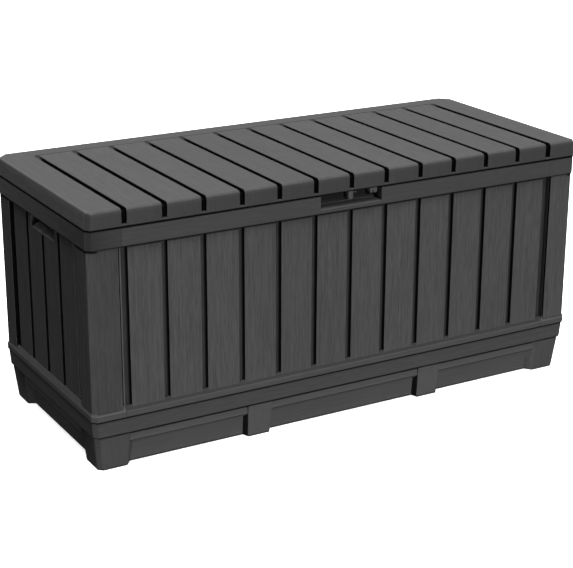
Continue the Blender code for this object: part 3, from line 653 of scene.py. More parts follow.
def side_line(o, s):
    """Plan line of an end wall from its front seam to its rear seam."""
    mid, half = (POST[1] + POST[2]) / 2, (POST[2] - POST[1]) / 2
    gw = SIDE_W / 2
    deep = SLAT[0] - GROOVE_D
    k45 = o * math.tan(math.radians(22.5))
    bead_in, bead_out, slot_out = SEAM + 0.012, SEAM + 0.052, SEAM + 0.078
    start = SEAM + GAP / 2
    half_line = []                              # from the seam to the middle of the side
    f, ff, dd = POST[1], SLAT[1], SLAT[1] + GROOVE_D
    if o == 0:
        half_line += [(start, dd, FLOOR_SHADE), (bead_in, dd, FLOOR_SHADE), (bead_in, ff - 0.006), (bead_out, ff - 0.006),
                      (bead_out, ff + 0.06, WALL_SHADE), (slot_out, ff + 0.06, WALL_SHADE), (slot_out, f)]
    else:
        half_line += [(start, dd + o), (slot_out + o, dd + o), (slot_out + o, f + o)]
    half_line += [(POST[0] - CH - k45, f + o), (POST[0] - o, f + CH + k45)]
    a, b = half - POST_SIDE - SIDE_WIDE, half - POST_SIDE
    wd, fd = WALL_SHADE, FLOOR_SHADE * 1.35
    if o:
        half_line += [(POST[0] - o, mid - b - o), (deep - o, mid - b - o), (deep - o, mid - a + o), (SLAT[0] - o, mid - a + o)]
        half_line += [(SLAT[0] - o, mid - 1 - gw - o), (deep - o, mid - 1 - gw - o), (deep - o, mid - 1 + gw + o),
                      (SLAT[0] - o, mid - 1 + gw + o), (SLAT[0] - o, mid - gw - o), (deep - o, mid - gw - o)]
    else:
        half_line += [(POST[0], mid - b), (POST[0] - 0.02, mid - b, wd * 0.6), (deep, mid - b, wd), (deep, mid - b + 0.03, fd),
                      (deep, mid - a - 0.03, fd), (deep, mid - a, wd), (SLAT[0] - 0.02, mid - a, wd * 0.6), (SLAT[0], mid - a)]
        half_line += [(SLAT[0], mid - 1 - gw), (SLAT[0] - 0.02, mid - 1 - gw, wd * 0.7), (deep, mid - 1 - gw, wd),
                      (deep, mid - 1 + gw, wd), (SLAT[0] - 0.02, mid - 1 + gw, wd * 0.7), (SLAT[0], mid - 1 + gw),
                      (SLAT[0], mid - gw), (SLAT[0] - 0.02, mid - gw, wd * 0.7), (deep, mid - gw, wd)]
    line = half_line + [(q[0], 2 * mid - q[1]) + tuple(q[2:]) for q in reversed(half_line)]
    return [(s * q[0],) + tuple(q[1:]) for q in line]


def wall_radius(b, convex):
    # the post's corner chamfer gets a larger rounding
    if abs(b.x) > POST[0] - CH - 0.02 and (b.y < POST[1] + CH + 0.02 or b.y > POST[2] - CH - 0.02):
        return 0.045
    return 0.016 if convex else 0.007


def wall(outer, inner, radius):
    """Extruded wall between two plan lines, edges rounded."""
    whole = outer + list(reversed(inner))
    line = fillet(whole, radius, 3)
    n = len(line)
    # the top rows carry painted shadow under the rim
    levels = ((-4.86, 1.0), (-0.975, 1.0), (-0.950, -0.35), (-0.930, -0.85), (-0.84, -0.97))
    v = [place(x, y, z) for z, _ in levels for x, y, _ in line]
    w = [k if t > 0 else min(k, t) for _, t in levels for _, _, k in line]
    f = [[j * n + i, j * n + (i + 1) % n, (j + 1) * n + (i + 1) % n, (j + 1) * n + i]
         for j in range(len(levels) - 1) for i in range(n)]
    f += [list(range(n - 1, -1, -1)), list(range((len(levels) - 1) * n, len(levels) * n))]
    return cleaned((v, f, w))


# ------------------------------------------------------------ front and back
LOCK_HALF, LOCK_LOW, LOCK_DEPTH = 0.870, -0.750, 0.300


def long_panel(rear):
    p = Piece()
    p.add(wall(front_line(0.0, rear), front_line(SKIN, rear), slat_radius), "slats_x")
    s = SEAM - GAP / 2
    rim = sweep(lambda i: bar_points(RIM, i, -s, s, rear), RIM_SECTION)
    if not rear:
        ob = to_object(rim)
        # the recess's floor falls away over its front edge
        cut = [(RIM[1] - 0.2, -0.3), (RIM[1] - 0.2, LOCK_LOW - 0.15), (RIM[1] + 0.10, LOCK_LOW), (RIM[1] + LOCK_DEPTH, LOCK_LOW),
               (RIM[1] + LOCK_DEPTH, -0.3)]
        v = [place(e * LOCK_HALF, y, z) for e in (-1, 1) for y, z in cut]
        f = [[i, (i + 1) % 5, 5 + (i + 1) % 5, 5 + i] for i in range(5)] + [[0, 1, 2, 3, 4], [5, 6, 7, 8, 9]]
        boolean(ob, to_object(cleaned((v, f, [0.0] * 10))), "DIFFERENCE")
        x_in, z_in, y_in = LOCK_HALF * P, (LOCK_LOW - 0.05) * P + H, place(0, RIM[1] + LOCK_DEPTH, 0).y
        y_face = place(0, RIM[1], 0).y
        z_top = place(0, 0, -0.438).z

        def mouth(e):
            a, b = e.verts[0].co, e.verts[1].co
            if max(abs(a.x), abs(b.x)) > x_in + 1e-4 or max(a.y, b.y) > y_in + 1e-4:
                return False
            on_side = abs(abs(a.x) - x_in) < 1e-4 and abs(abs(b.x) - x_in) < 1e-4
            on_floor = abs(a.z - z_in) < 1e-4 and abs(b.z - z_in) < 1e-4
            on_face = abs(a.y - y_face) < 2e-4 and abs(b.y - y_face) < 2e-4
            return on_face and (on_side or on_floor) and (a - b).length > 0.004
        def shade(x, y, z):
            d = y - RIM[1]
            if abs(x) < LOCK_HALF + 0.004 and z > LOCK_LOW - 0.034 and 0.022 < d < LOCK_DEPTH + 0.01:
                if x > LOCK_HALF - 0.040:           # the end that lies in the shade
                    return -0.97
                if z < LOCK_LOW + 0.006:            # the floor: painted light at the back, painted shade towards the front
                    return 7.0 if d > 0.2 else -0.60 if d > 0.06 else -0.64
                if z > -0.65 and (-0.035 < x < 0.105 or x > 0.595):
                    return -0.97                    # painted shadow of the lugs on the back wall
                # the back wall: painted shade, darkest under the lid
                return -0.93 if z > -0.460 else -0.84 if z > -0.500 else -0.76 if z > -0.65 else -0.60
            # painted shadow at the joint under the lid and along the rim's lower edge
            if d < 0.02:
                for h, k in ((-0.438, -0.97), (-0.4435, -0.97), (-0.454, -0.92), (-0.470, -0.5), (-0.912, -0.95),
                             (-0.908, -0.93), (-0.898, -0.85), (-0.885, -0.40)):
                    if abs(z - h) < 1e-3:
                        return k
            return None
        rim = from_object(ob, mouth, 0.016, shade, RIM_LEVELS + (-0.515, -0.60, -0.64, -0.735), (-0.07, -0.03, 0.10, 0.14, 0.56, 0.60, LOCK_HALF - 0.075, LOCK_HALF - 0.038))
    p.add(rim, "rim_x")
    p.add(sweep(lambda i: bar_points(LIP, i, -s, s, rear), ledge_section(-0.50)), "band_x")
    # upright screw flanges at the ends
    y0, y1 = (SLAT[1] + 0.10, 0.37) if not rear else (2 * 2.829 - 0.37, SLAT[2] - 0.10)
    for e in (-1, 1):
        a, b = sorted((e * s, e * (s - SKIN)))
        p.add(soft_box(a, b, y0, y1, -4.90, -0.60, 0.008), "plain")
    return p


# ------------------------------------------------------------------ end walls
HANDLE_HALF, HANDLE_LOW = 0.735, -1.248


def side_panel(s):
    p = Piece()
    ob = to_object(wall(side_line(0.0, s), side_line(SKIN, s), wall_radius))
    mid = (POST[1] + POST[2]) / 2
    inside = SLAT[0] - 0.40
    boolean(ob, to_object(prism_y([(s * (SLAT[0] - 0.012), HANDLE_LOW - 0.06), (s * inside, HANDLE_LOW + 0.13),
                                   (s * inside, -0.86), (s * (SLAT[0] - 0.012), -0.86)],
                                  mid - HANDLE_HALF - SKIN, mid + HANDLE_HALF + SKIN)), "UNION")
    boolean(ob, to_object(prism_y([(s * (SLAT[0] + 0.10), HANDLE_LOW - 0.03), (s * (SLAT[0] - 0.02), HANDLE_LOW),
                                   (s * (inside + SKIN), HANDLE_LOW + 0.13 + SKIN), (s * (inside + SKIN), -0.895),
                                   (s * (SLAT[0] + 0.10), -0.895)],
                                  mid - HANDLE_HALF, mid + HANDLE_HALF)), "DIFFERENCE")
    x_face = SLAT[0] * P
    y_a, y_b = place(0, mid - HANDLE_HALF, 0).y, place(0, mid + HANDLE_HALF, 0).y
    z_a, z_b = H + (HANDLE_LOW - 0.05) * P, H - 0.90 * P

    def mouth(e):
        a, b = e.verts[0].co, e.verts[1].co
        if abs(abs(a.x) - x_face) > 2e-4 or abs(abs(b.x) - x_face) > 2e-4 or (a - b).length < 0.006:
            return False
        inside_y = min(a.y, b.y) > y_a - 1e-4 and max(a.y, b.y) < y_b + 1e-4
        level = abs(a.z - b.z) < 1e-4 and z_a < a.z < z_b - 0.01
        upright = abs(a.y - b.y) < 1e-4 and (abs(a.y - y_a) < 1e-4 or abs(a.y - y_b) < 1e-4)
        return inside_y and (level or upright) and min(a.z, b.z) > z_a

    def shade(x, y, z):
        x = abs(x)
        inset = SLAT[0] - x
        across = abs(y - mid) - HANDLE_HALF
        if across < 0.004 and HANDLE_LOW - 0.04 < z < -0.86 and inset < 0.39:
            if across > -0.004:                     # the pocket's ends: painted shade
                return -0.95 if inset > 0.008 else (-0.5 if inset > 0.003 else None)
            if z < -1.0:                            # its back in painted shade, its floor in painted light
                return -0.93 if inset > 0.205 else (9.0 if inset > 0.012 else 1.0)
            # its top: painted shade
            return -0.97 if inset > 0.003 else None
        if z > -0.96 and inset < 0.2:               # painted shadow tucked up behind the rim
            return -0.97 if z > -0.90 else -0.93 if z > -0.94 else -0.75
        # the grooves' painted shade, which the Boolean has dropped
        for c, w, out in grooves:
            if abs(y - c) < w + 0.002 and inset < GROOVE_D + 0.004:
                if out and c < mid:                 # the step beside the front post is open to the light
                    return -0.35 if inset > 0.02 else None
                if out and abs(y - c) < w - 0.02:
                    return FLOOR_SHADE * 1.5
                if inset > (-0.040 if out and abs(y - mid) > abs(c - mid) else 0.0012):
                    return WALL_SHADE
        fy = min(y - SLAT[1], SLAT[2] - y)
        if SEAM + 0.010 < x < SEAM + 0.054 and fy < 0.005:
            return 2.2 if s < 0 else -0.80          # the bead by the seam; only one of them catches the light
        # painted shade in the slot by the seam
        if SEAM - 0.01 < x < SEAM + 0.10 and -0.022 < fy < GROOVE_D + 0.004:
            return FLOOR_SHADE if x < SEAM + 0.013 else WALL_SHADE
        if s < 0 and x > SEAM + 0.076 and -0.04 < fy < -0.02:
            return -0.24                            # this post lies a little out of the front light
        return None
    grooves = [(mid + k, SIDE_W / 2, False) for k in (-1, 0, 1)]
    half = (POST[2] - POST[1]) / 2 - POST_SIDE - SIDE_WIDE / 2
    grooves += [(mid + k * half, SIDE_WIDE / 2, True) for k in (-1, 1)]
    p.add(from_object(ob, mouth, 0.014, shade, (-0.975, -0.950, -0.930, HANDLE_LOW - 0.047), (s * (SLAT[0] - 0.150), s * (SLAT[0] - 0.215)),
                      (mid - HANDLE_HALF + 0.03, mid + HANDLE_HALF - 0.03)),
          facing("slats_x", "slats_y"))
    v, f, w = sweep(lambda i: end_points(RIM, i, s), RIM_SECTION)
    if s < 0:                                       # this end lies a little out of the front light
        w = [k - 0.16 - 0.26 * min(1.0, (-q.x / P - SEAM) / 0.75) if q.y + YC < 0.12 * P and -0.2 < k < 0.5 else k
             for q, k in zip(v, w)]
    # painted highlight along the end rims' upper edge, with painted shade above it in the joint under the lid
    for i, q in enumerate(v):
        z = (q.z - H) / P
        if abs(q.x) > 6.90 * P and 0.15 < (q.y + YC) / P < 5.3 and z > -0.49:
            w[i] = 2.5 if z < -0.465 else -0.10 if z < -0.450 else -0.6 if z < -0.440 else w[i]
    p.add((v, f, w), facing("rim_x", "rim_y"))
    p.add(sweep(lambda i: end_points(LIP, i, s), ledge_section(-0.05)), facing("band_x", "band_y"))
    for y0, y1 in ((SLAT[1] + 0.10, 0.37), (2 * 2.829 - 0.37, SLAT[2] - 0.10)):
        a, b = sorted((s * (SEAM + GAP / 2), s * (SEAM + GAP / 2 + SKIN)))
        p.add(soft_box(a, b, y0, y1, -4.90, -0.60, 0.008), "plain")
    return p


# ------------------------------------------------------------------------ base
def base_tray():
    p = Piece()

    def loop(inset, z, wear=0):
        return (ring_points(BAND, inset), z, wear)
    # the rows at the parting line, in the steps below the band and at the skirt's top and bottom edges are darkened as
    # painted shade
    pile = [loop(0.012, -5.0915, -0.95), loop(0.0035, -5.095, -0.93), loop(0.0, -5.105, -0.70), loop(0.001, -5.124),
            loop(0.029, -5.472), loop(0.031, -5.486, -0.60), loop(0.0345, -5.499, -0.93),
            loop(0.044, -5.507, -0.95), loop(0.106, -5.509, -0.96), loop(0.1065, -5.537, -0.94), loop(0.107, -5.555, -0.80),
            loop(0.107, -5.574), loop(0.108, -5.730), loop(0.109, -5.744, -0.6), loop(0.112, -5.755, -0.93),
            loop(0.124, -5.761, -0.95),
            loop(0.256, -5.763, -0.95), loop(0.259, -5.805, -0.92), loop(0.262, -5.824, -0.70), loop(0.265, -5.842, -0.1),
            loop(0.280, -5.95),
            loop(0.329, -6.338), loop(0.330, -6.356, -0.70), loop(0.334, -6.374, -0.92), loop(0.344, -6.387, -0.95),
            loop(0.372, -6.387), loop(0.320, -5.82), loop(0.300, -5.80), loop(0.175, -5.80), loop(0.150, -5.78),
            loop(0.150, -5.14), loop(0.160, -5.13)]
    z_band = place(0, 0, -5.495).z

    # the skirt below the band gets its lighter tone as painted light, where the band's overhang would shade it
    def pick(c, n):
        if abs(n.z) > 0.8:
            return "plain"
        which = "skirt" if c.z < z_band else "band"
        return which + ("_x" if abs(n.y) >= 0.9 * abs(n.x) else "_y")
    p.add(stack(pile), pick)
    y_sum = 5.663

    def edge_shade(a, k, kind):
        """Feet: the lower edge and the flanks that run back under the band are out
        of the light, the corner feet's inner flanks face it."""
        x, y, z = abs(a.x) / P, min(a.y + YC, y_sum * P - a.y - YC) / P, (a.z - H) / P
        back = y - 0.068 - 0.092 * (-5.534 - z) / 0.856
        if z < -6.357:
            return -0.85
        if kind == "middle":
            return -0.88 if back > 0.018 else k
        if y > 0.90:
            return -0.60
        return 5.0 if back > 0.018 and x < 6.2 else k
    for s in (-1, 1):
        for rear in (False, True):
            def q(x, y, z):
                return (s * x, y_sum - y if rear else y, z)
            # corner foot: chamfered outer corner, wide slanted flanks
            top, low = -5.534, -6.390
            pts = [(5.992, 0.068, top), (6.732, 0.068, top), (6.852, 0.188, top), (6.852, 0.972, top), (6.60, 1.10, top),
                   (5.75, 0.310, top),
                   (6.030, 0.160, low), (6.650, 0.160, low), (6.760, 0.270, low), (6.760, 0.915, low), (6.53, 1.03, low),
                   (5.850, 0.390, low)]
            v, f, w = cut_level(soft_hull([q(*k) for k in pts], 0.026, 3), -6.335)
            w = [edge_shade(a, k, "corner") for a, k in zip(v, w)]
            p.add((v, f, w), "foot")
            # middle foot: steep flanks
            pts = [(2.175, 0.068, top), (2.835, 0.068, top), (2.930, 0.330, top), (2.100, 0.330, top),
                   (2.207, 0.160, low), (2.803, 0.160, low), (2.890, 0.400, low), (2.130, 0.400, low)]
            v, f, w = cut_level(soft_hull([q(k[0] + 0.027 * s, k[1], k[2]) for k in pts], 0.026, 3), -6.335)
            w = [edge_shade(a, k, "middle") for a, k in zip(v, w)]
            p.add((v, f, w), "foot_mid")
    # stiffening ribs under the floor
    for x in (-4.2, -1.4, 1.4, 4.2):
        p.add(soft_box(x - 0.018, x + 0.018, 0.20, 5.45, -5.68, -5.12, 0.006), "plain")
    p.add(soft_box(-6.70, 6.70, 2.812, 2.848, -5.68, -5.12, 0.006), "plain")
    return p


# ------------------------------------------------------------------------- lid
def smooth(t):
    t = max(0.0, min(1.0, t))
    return t * t * (3 - 2 * t)


def lid_shell():
    """One skin: a grid for the planked top, then rounded edges and a skirt.
    Every point is blended between the plain surface and the groove floor."""
    half_w, depth, notch_d = 0.062, 0.110, 0.085
    r = 0.017
    right = [(half_w + r, 0.0), (half_w + 0.60 * r, 0.016), (half_w + 0.27 * r, 0.055), (half_w + 0.05 * r, 0.125),
             (half_w - 0.001, 0.26), (half_w - 0.004, 0.86), (half_w - 0.010, 0.965), (half_w - 0.022, 1.0), (0.010, 1.0)]
    section = [(-x, g) for x, g in right] + [(x, g) for x, g in reversed(right)]
    cols = []                                   # (x, groove weight, fine line weight, wear: painted shade in the grooves)
    for k in range(-6, 7):
        for x, g in section:
            x *= 1.35 if k == 6 and x < 0 else 1.0
            cols.append((k + x, g, -0.97 if g > 0.2 else -0.75 if g > 0.1 else -0.15 if g > 0.04 else 0.0))
        if k < 6:
            cols += [(k + 0.30, 0.0, 0.0), (k + 0.70, 0.0, 0.0)]
    edge = 6 + half_w + r
    ends = [1.0, 0.86, 0.62, 0.30]
    hx, yf, yr = 6.832, 0.055, 5.800
    rows = [0.055, 0.066, 0.079, 0.093, 0.20, 0.60, 1.3, 2.2, 3.1, 4.0, 4.7, 4.98, 5.035, 5.055, 5.085, 5.125, 5.165, 5.205,
            5.240, 5.262, 5.270, 5.276, 5.310, 5.316, 5.40, 5.577, 5.64, 5.70, 5.755, 5.800]

    def half_at(y):
        if y < 0.093:
            return 6.716 + (y - 0.025) * (hx - 6.716) / 0.068
        if y > 5.577:
            return hx + (y - 5.577) * (6.590 - hx) / 0.223
        return hx

    def ramp(y):
        return 1.0 - smooth((y - 5.035) / (5.270 - 5.035)) if y > 5.035 else 1.0

    def line_at(y):
        return 0.010 if 5.275 < y < 5.311 else 0.0

    grid, weights, rub_and_shade = [], [], []
    for y in rows:
        h = half_at(y)
        left = [(-(edge + t * (h - edge)), 0.0, 0.0) for t in ends]
        right_side = [(-x, g, w) for x, g, w in reversed(left)]
        line = left + cols + right_side
        pts, gs, ws = [], [], []
        for x, g, w in line:
            z = -g * depth * ramp(y)
            yy = y
            if y < 0.09 and g > 0:
                # the groove's floor stops at the back of the front notch
                yy = y + g * (max(y, LID[1] + notch_d) - y)
            if abs(x) < 5.995:
                z -= line_at(y) * (1 - g * ramp(y))
            pts.append(place(x, yy, z))
            gs.append(g)
            if y > 5.0:
                w = 0.0 if w > 0 or y > 5.262 else max(w, -0.66) if y > 5.05 else w
            # painted shade along the fine line at the rear border
            if line_at(y) and abs(x) < 6.035:
                w = -0.94
            ws.append(w)
        grid.append(pts)
        weights.append(gs)
        rub_and_shade.append(ws)
    nx, ny = len(grid[0]), len(rows)
    v = [p for row in grid for p in row]
    w = [k for row in rub_and_shade for k in row]
    f = []
    mats = []
    for j in range(ny - 1):
        for i in range(nx - 1):
            a = j * nx + i
            f.append([a, a + 1, a + nx + 1, a + nx])
            mats.append("lid_edge_x" if rows[j] > 5.29 and abs(grid[j][i].x) < 6.0 * P else "lid_planks")

    # boundary: index in grid, outward vector, groove weight
    def out_vector(x, y):
        ax = abs(x)
        sx = 1 if x > 0 else -1
        if y <= yf + 1e-6:
            if ax > 6.60:
                return Vector((sx * 0.050, -0.085))
            return Vector((0, -0.085))
        if y < 0.093 - 1e-6:
            t = (y - yf) / (0.093 - yf)
            return Vector((sx * (0.050 + t * 0.002), -0.085 + t * 0.082))
        if y <= 5.577 + 1e-6:
            return Vector((sx * 0.052, 0.0))
        if y < yr - 1e-6:
            t = (y - 5.577) / (yr - 5.577)
            return Vector((sx * (0.052 + t * 0.001), 0.003 + t * 0.057))
        if ax > 6.5:
            return Vector((sx * 0.053, 0.06))
        return Vector((0, 0.06))

    border = [(0, i) for i in range(nx)] + [(j, nx - 1) for j in range(1, ny)]
    border += [(ny - 1, i) for i in range(nx - 2, -1, -1)] + [(j, 0) for j in range(ny - 2, 0, -1)]
    base_pts = []
    for j, i in border:
        y = rows[j]
        h = half_at(y)
        line = [-(edge + t * (h - edge)) for t in ends] + [c[0] for c in cols] + [(edge + t * (h - edge)) for t in reversed(ends)]
        base_pts.append((line[i], y, out_vector(line[i], y), weights[j][i] if j == 0 else 0.0, rub_and_shade[j][i] if j == 0 else 0.0))
    rings = []
    angles = [22, 45, 67, 90]
    floor_y = LID[1] + notch_d
    for n_row, a in enumerate(angles):
        a = math.radians(a)
        ring = []
        for x, y, e, g, rb in base_pts:
            rad = e.length
            ox, oy, oz = x + e.x * math.sin(a), y + e.y * math.sin(a), -rad * (1 - math.cos(a))
            gz = -depth - 0.004 * (n_row + 1)
            # the rounding's middle row: painted shade along the front edge, a little lighter on the other edges
            ring.append((x * g + ox * (1 - g), oy + g * (floor_y - oy), oz + g * (gz - oz),
                         rb if rb < 0 or not 0.3 < a < 1.5 else -0.32 if e.y < -0.002 else 0.3))
        rings.append(ring)
    for n_row, z in enumerate((-0.135, -0.19, -0.25, -0.366, -0.3795, -0.390, -0.402, -0.410)):
        ring = []
        for x, y, e, g, rb in base_pts:
            keep = g if z > -0.373 else 0.0
            ox, oy = x + e.x, y + e.y
            # draft: the ends lean out towards the bottom, the front and rear in a touch
            lean = -z / 0.43
            n = e.normalized()
            ox, oy = ox + n.x * 0.044 * lean, oy - n.y * 0.004 * lean
            # painted shade on the lid skirt's bottom row
            ring.append((x * g + ox * (1 - g) if keep else ox, oy + keep * (floor_y - oy), z,
                         rb if keep else -0.5 if z < -0.409 else 0.0))
        rings.append(ring)
    # the lid's lower edge and underside carry painted shadow, as in the closed joint over the rim
    for inset, z, wr in ((0.0045, -0.4180, -0.70), (0.0080, -0.4290, -0.96), (0.015, Z_LID, -0.97), (0.034, Z_LID, 0.0), (0.041, -0.428, 0.0),
                         (0.040, -0.400, 0.0), (0.100, -0.392, 0.0), (0.100, -0.19, 0.0)):
        ring = []
        for x, y, e, g, rb in base_pts:
            n = e.normalized()
            ring.append((x + e.x + n.x * (0.044 - inset), y + e.y - n.y * inset, z, wr))
        rings.append(ring)
    ids = [j * nx + i for j, i in border]
    for k, ring in enumerate(rings):
        start = len(v)
        v += [place(x, y, z) for x, y, z, _ in ring]
        w += [q for _, _, _, q in ring]
        new = list(range(start, start + len(ring)))
        m = len(ids)
        for q in range(m):
            f.append([ids[q], new[q], new[(q + 1) % m], ids[(q + 1) % m]])
            ey = (base_pts[q][2].y + base_pts[(q + 1) % m][2].y) / 2
            # front faces get the darker lid_front tone and the ends the lighter lid_edge_y tone, as painted shade and
            # light
            if k > 13:
                mats.append("plain")
            elif ey < -0.0012:
                mats.append("lid_planks" if k < 3 else "lid_front")
            elif ey > 0.02:
                mats.append("lid_edge_x")
            else:
                mats.append("lid_edge_y")
        ids = new
    f.append(list(reversed(ids)))
    mats.append("plain")
    return (v, f, w), mats


def lid_piece():
    p = Piece()
    (v, f, w), mats = lid_shell()
    # the normal of one face of the skin is worked out, but not used
    probe = f[len(f) // 3]
    n = (v[probe[1]] - v[probe[0]]).cross(v[probe[2]] - v[probe[1]])
    p.v, p.f, p.w, p.m = v, f, w, mats
    return p


# ------------------------------------------------------------------ build all
for rear, name in ((False, "front_panel"), (True, "back_panel")):
    long_panel(rear).build(name + "_slats", "box", "graphite_resin", [name])
for s, name in ((-1, "side_panel_left"), (1, "side_panel_right")):
    side_panel(s).build(name + "_slats", "box", "graphite_resin", [name])
base_tray().build("base_tray_body", "box", "graphite_resin", ["base_tray"])
lid_piece().build("lid_planks", "lid", "graphite_resin", ["lid_shell"], flat=40, weighted=False)

# liner: ribbed pan that closes the lid's underside
liner = Piece()
LINER = (6.904, 0.145, 5.735)
liner.add(stack([(ring_points(LINER, 0.010, 0.12, CH_REAR), -0.400, 0), (ring_points(LINER, 0.003, 0.12, CH_REAR), -0.396, 1),
                 (ring_points(LINER, 0.0, 0.12, CH_REAR), -0.390, 0), (ring_points(LINER, 0.0, 0.12, CH_REAR), -0.372, 0)]), "plain")
for x in (-5.9, -4.7, -3.5, -2.3, -1.1, 1.1, 2.3, 3.5, 4.7, 5.9):
    liner.add(soft_box(x - 0.05, x + 0.05, 0.62, 5.20, -0.424, -0.392, 0.010), "plain")
for y in (0.55, 2.05, 3.70, 5.20):
    liner.add(soft_box(-6.3, 6.3, y - 0.05, y + 0.05, -0.4245, -0.392, 0.010), "plain")
liner.build("lid_liner_pan", "lid", "dark_resin", ["lid_liner"])

# lock lugs
for name, (x0, x1, low), split in (("lock_lug_left", (-0.030, 0.100, -0.680), None),
                                   ("lock_lug_right", (0.588, 0.793, -0.610), 0.677)):
    p = Piece()
    spans = [(x0, x1)] if split is None else [(x0, split - 0.008), (split + 0.008, x1)]
    for a, b in spans:
        v, f, w = soft_hull([(a, 0.070, -0.470), (b, 0.070, -0.470), (a, 0.070, low + 0.05), (b, 0.070, low + 0.05),
                         (a + 0.02, 0.078, low + 0.012), (b - 0.02, 0.078, low + 0.012),
                         (a + 0.025, 0.105, low), (b - 0.025, 0.105, low), (a + 0.02, 0.225, low), (b - 0.02, 0.225, low),
                         (a, 0.254, low + 0.05), (b, 0.254, low + 0.05), (a, 0.254, -0.470), (b, 0.254, -0.470)], 0.010, 2)
        # the lugs' flanks are darkened as painted shade
        p.add((v, f, [-0.96 if q.y + YC > 0.094 * P else k for q, k in zip(v, w)]), "lug")
    p.add(soft_box(x0 + 0.004, x1 - 0.004, 0.165, 0.250, low + 0.10, -0.402, 0.008), "lug")
    p.add(soft_box(x0 - 0.004, x1 + 0.105 if split is None else x1 + 0.004, 0.085, 0.240, -0.520, -0.496, 0.008), "lug")
    p.build(name + "_hook", "lid", "grey_resin", [name])

# hinges
HY, HZ = 5.780, -0.505
KN = 0.018 / P
for name, x in (("left", -4.5), ("centre", 0.0), ("right", 4.5)):
    low = Piece()
    low.add(soft_box(x - 0.032 / P, x + 0.032 / P, RIM[2] + GAP, RIM[2] + GAP + 0.0026 / P, -0.86, HZ - 0.01, 0.008), "hinge")
    g = 0.0004 / P
    for e in (-1, 1):
        c = x + e * (KN + g)
        low.add(rod(0.0058, (c - KN / 2, HY, HZ), (c + KN / 2, HY, HZ), 32, 0.0007), "hinge")
        low.add(soft_box(c - KN / 2 + 0.004, c + KN / 2 - 0.004, RIM[2] + GAP + 0.004, HY, HZ - 0.055, HZ + 0.012, 0.006), "hinge")
        low.add(rod(0.0036, (x + e * 0.022 / P, RIM[2] + GAP + 0.0024 / P, -0.74), (x + e * 0.022 / P, RIM[2] + GAP + 0.0042 / P, -0.74),
                    20, 0.0008), "hinge")
    low.build("hinge_base_%s_body" % name, "box", "dark_resin", ["hinge_base_" + name])
    up = Piece()
    up.add(rod(0.0058, (x - KN / 2 + g / 2, HY, HZ), (x + KN / 2 - g / 2, HY, HZ), 32, 0.0007), "hinge")
    up.add(soft_box(x - KN / 2 + g / 2 + 0.003, x + KN / 2 - g / 2 - 0.003, 5.765, 5.807, HZ, -0.20, 0.008), "hinge")
    up.add(soft_box(x - 0.030 / P, x + 0.030 / P, 5.765, 5.807, -0.400, -0.195, 0.008), "hinge")
    up.build("hinge_leaf_%s_body" % name, "lid", "dark_resin", ["hinge_leaf_" + name])
    pin = Piece()
    pin.add(rod(0.0026, (x - 0.0305 / P, HY, HZ), (x + 0.031 / P, HY, HZ), 24, 0.0005), "zinc")
    pin.add(rod(0.0042, (x - 0.0325 / P, HY, HZ), (x - 0.0306 / P, HY, HZ), 28, 0.0007), "zinc")
    pin.build("hinge_pin_%s_body" % name, "box", "zinc_steel", ["hinge_pin_" + name])


# screws: domed pan heads with a cross recess, and a ringed shank
def screw_solid(length):
    turns = [(0.0, 0.0024), (0.0016, 0.00235), (0.0028, 0.0020), (0.0037, 0.0013), (0.0042, 0.0004), (0.0042, 0.0),
             (0.0021, 0.0)]
    z = -0.0006
    while z > -length + 0.002:
        turns += [(0.00205, z), (0.00165, z - 0.0004), (0.00165, z - 0.0008), (0.00205, z - 0.0011)]
        z -= 0.0014
    turns += [(0.0016, -length + 0.0012), (0.0, -length)]
    n = 24
    v, f = [], []
    for r, h in turns:
        for k in range(n):
            a = 2 * math.pi * k / n
            v.append(Vector((max(r, 0.00002) * math.cos(a), max(r, 0.00002) * math.sin(a), h)))
    for j in range(len(turns) - 1):
        for k in range(n):
            f.append([j * n + k, j * n + (k + 1) % n, (j + 1) * n + (k + 1) % n, (j + 1) * n + k])
    f.append(list(range(n)))
    f.append([(len(turns) - 1) * n + k for k in range(n)])
    ob = to_object(cleaned((v, f, [0.0] * len(v))))
    for a in (0, math.pi / 2):
        bm = bmesh.new()
        bmesh.ops.create_cone(bm, cap_ends=True, segments=4, radius1=0.0009, radius2=0.0034, depth=0.0030)
        bmesh.ops.rotate(bm, matrix=Matrix.Rotation(math.pi / 4, 3, "Z"), verts=bm.verts)
        bmesh.ops.scale(bm, vec=(1.0, 0.30, 1.0), verts=bm.verts)
        bmesh.ops.rotate(bm, matrix=Matrix.Rotation(a, 3, "Z"), verts=bm.verts)
        bmesh.ops.translate(bm, vec=(0, 0, 0.0022), verts=bm.verts)
        me = bpy.data.meshes.new("cross")
        bm.to_mesh(me)
        bm.free()
        cutter = bpy.data.objects.new("cross", me)
        bpy.context.scene.collection.objects.link(cutter)
        boolean(ob, cutter, "DIFFERENCE")
    return from_object(ob)


SCREWS = {n: screw_solid(n) for n in (0.0130, 0.0135, 0.0200)}


def put_screw(name, seat, along, length, body):
    v, f, w = SCREWS[length]
    d = Vector(along)
    turn = Vector((0, 0, -1)).rotation_difference(d).to_matrix()
    if d.z < -0.9:
        turn = Matrix.Identity(3)
    p = Piece()
    p.add(([turn @ q + seat for q in v], f, w), "zinc")
    p.build(name + "_body", body, "zinc_steel", [name], flat=40, weighted=False)


def head_seat(name, axis, sign):
    """The seat of a screw's head, from its CAD node's box."""
    lo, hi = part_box(name)
    c = (lo + hi) / 2
    c[axis] = (lo[axis] + 0.0024) if sign > 0 else (hi[axis] - 0.0024)
    return c


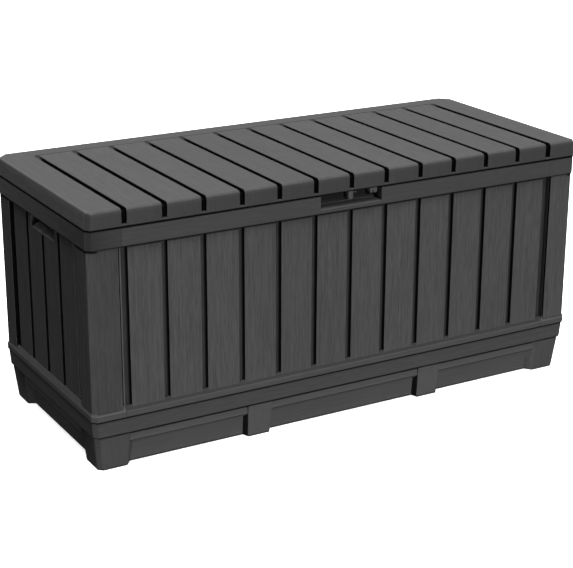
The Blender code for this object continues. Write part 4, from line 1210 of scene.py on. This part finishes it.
for side, s in (("left", -1), ("right", 1)):
    for end in ("front", "rear"):
        for level in ("upper", "lower"):
            n = "wall_screw_%s_%s_%s" % (side, end, level)
            put_screw(n, head_seat(n, 0, s), (s, 0, 0), 0.0135, "box")
        n = "base_screw_%s_%s" % (side, end)
        put_screw(n, head_seat(n, 2, -1), (0, 0, -1), 0.0130, "box")
for side in ("left", "centre", "right"):
    for end in ("front", "rear"):
        n = "liner_screw_%s_%s" % (side, end)
        put_screw(n, head_seat(n, 2, 1), (0, 0, 1), 0.0200, "lid")

# ------------------------------------------------------------------- the stage
me = bpy.data.meshes.new("floor")
me.from_pydata([(-30, -30, -0.0004), (30, -30, -0.0004), (30, 30, -0.0004), (-30, 30, -0.0004)], [], [[0, 1, 2, 3]])
floor = bpy.data.objects.new("floor", me)
bpy.context.scene.collection.objects.link(floor)
fm = bpy.data.materials.new("floor_pale")
fm.use_nodes = True
ft = fm.node_tree
fb = ft.nodes["Principled BSDF"]
fb.inputs["Roughness"].default_value = 0.85
fb.inputs["Emission Color"].default_value = (1.0, 1.0, 1.0, 1.0)
fb.inputs["Emission Strength"].default_value = 0.70
fb.inputs["Specular IOR Level"].default_value = 0.1
fn = node(ft, "ShaderNodeTexNoise", _Scale=3.0, _Detail=3.0)
fr = node(ft, "ShaderNodeMapRange")
fr.inputs["To Min"].default_value = 0.74
fr.inputs["To Max"].default_value = 0.78
link(ft, fn.outputs["Fac"], fr.inputs["Value"])
link(ft, fr.outputs["Result"], fb.inputs["Base Color"])
me.materials.append(fm)
# the box is lit by the softbox alone, with no light thrown up from the floor
floor.visible_diffuse = False
floor.visible_glossy = False


def sun(name, direction, energy, angle):
    lamp = bpy.data.lights.new(name, "SUN")
    lamp.energy = energy
    lamp.angle = math.radians(angle)
    ob = bpy.data.objects.new(name, lamp)
    ob.rotation_euler = Vector(direction).normalized().to_track_quat("Z", "Y").to_euler()
    bpy.context.scene.collection.objects.link(ob)


# direction: from the object towards the light
sun("top", (0.02, -0.12, 1.0), 7.8, 45)
sun("front", (-0.21, -0.95, 0.13), 3.9, 35)

world = bpy.data.worlds.new("studio")
bpy.context.scene.world = world
world.use_nodes = True
wb = world.node_tree.nodes["Background"]
wb.inputs["Color"].default_value = (1.0, 1.0, 1.0, 1.0)
wb.inputs["Strength"].default_value = 0.05

bpy.context.scene.view_settings.view_transform = "Standard"

cam = bpy.data.cameras.new("camera")
cam.lens = 99.322
cam.sensor_width = 36.0
cam.clip_start, cam.clip_end = 0.1, 100.0
camera = bpy.data.objects.new("camera", cam)
camera.location = (-1.8237, -3.1483, 1.5172)
camera.rotation_euler = (math.radians(70.768), math.radians(-0.181), math.radians(-29.864))
bpy.context.scene.collection.objects.link(camera)
bpy.context.scene.camera = camera
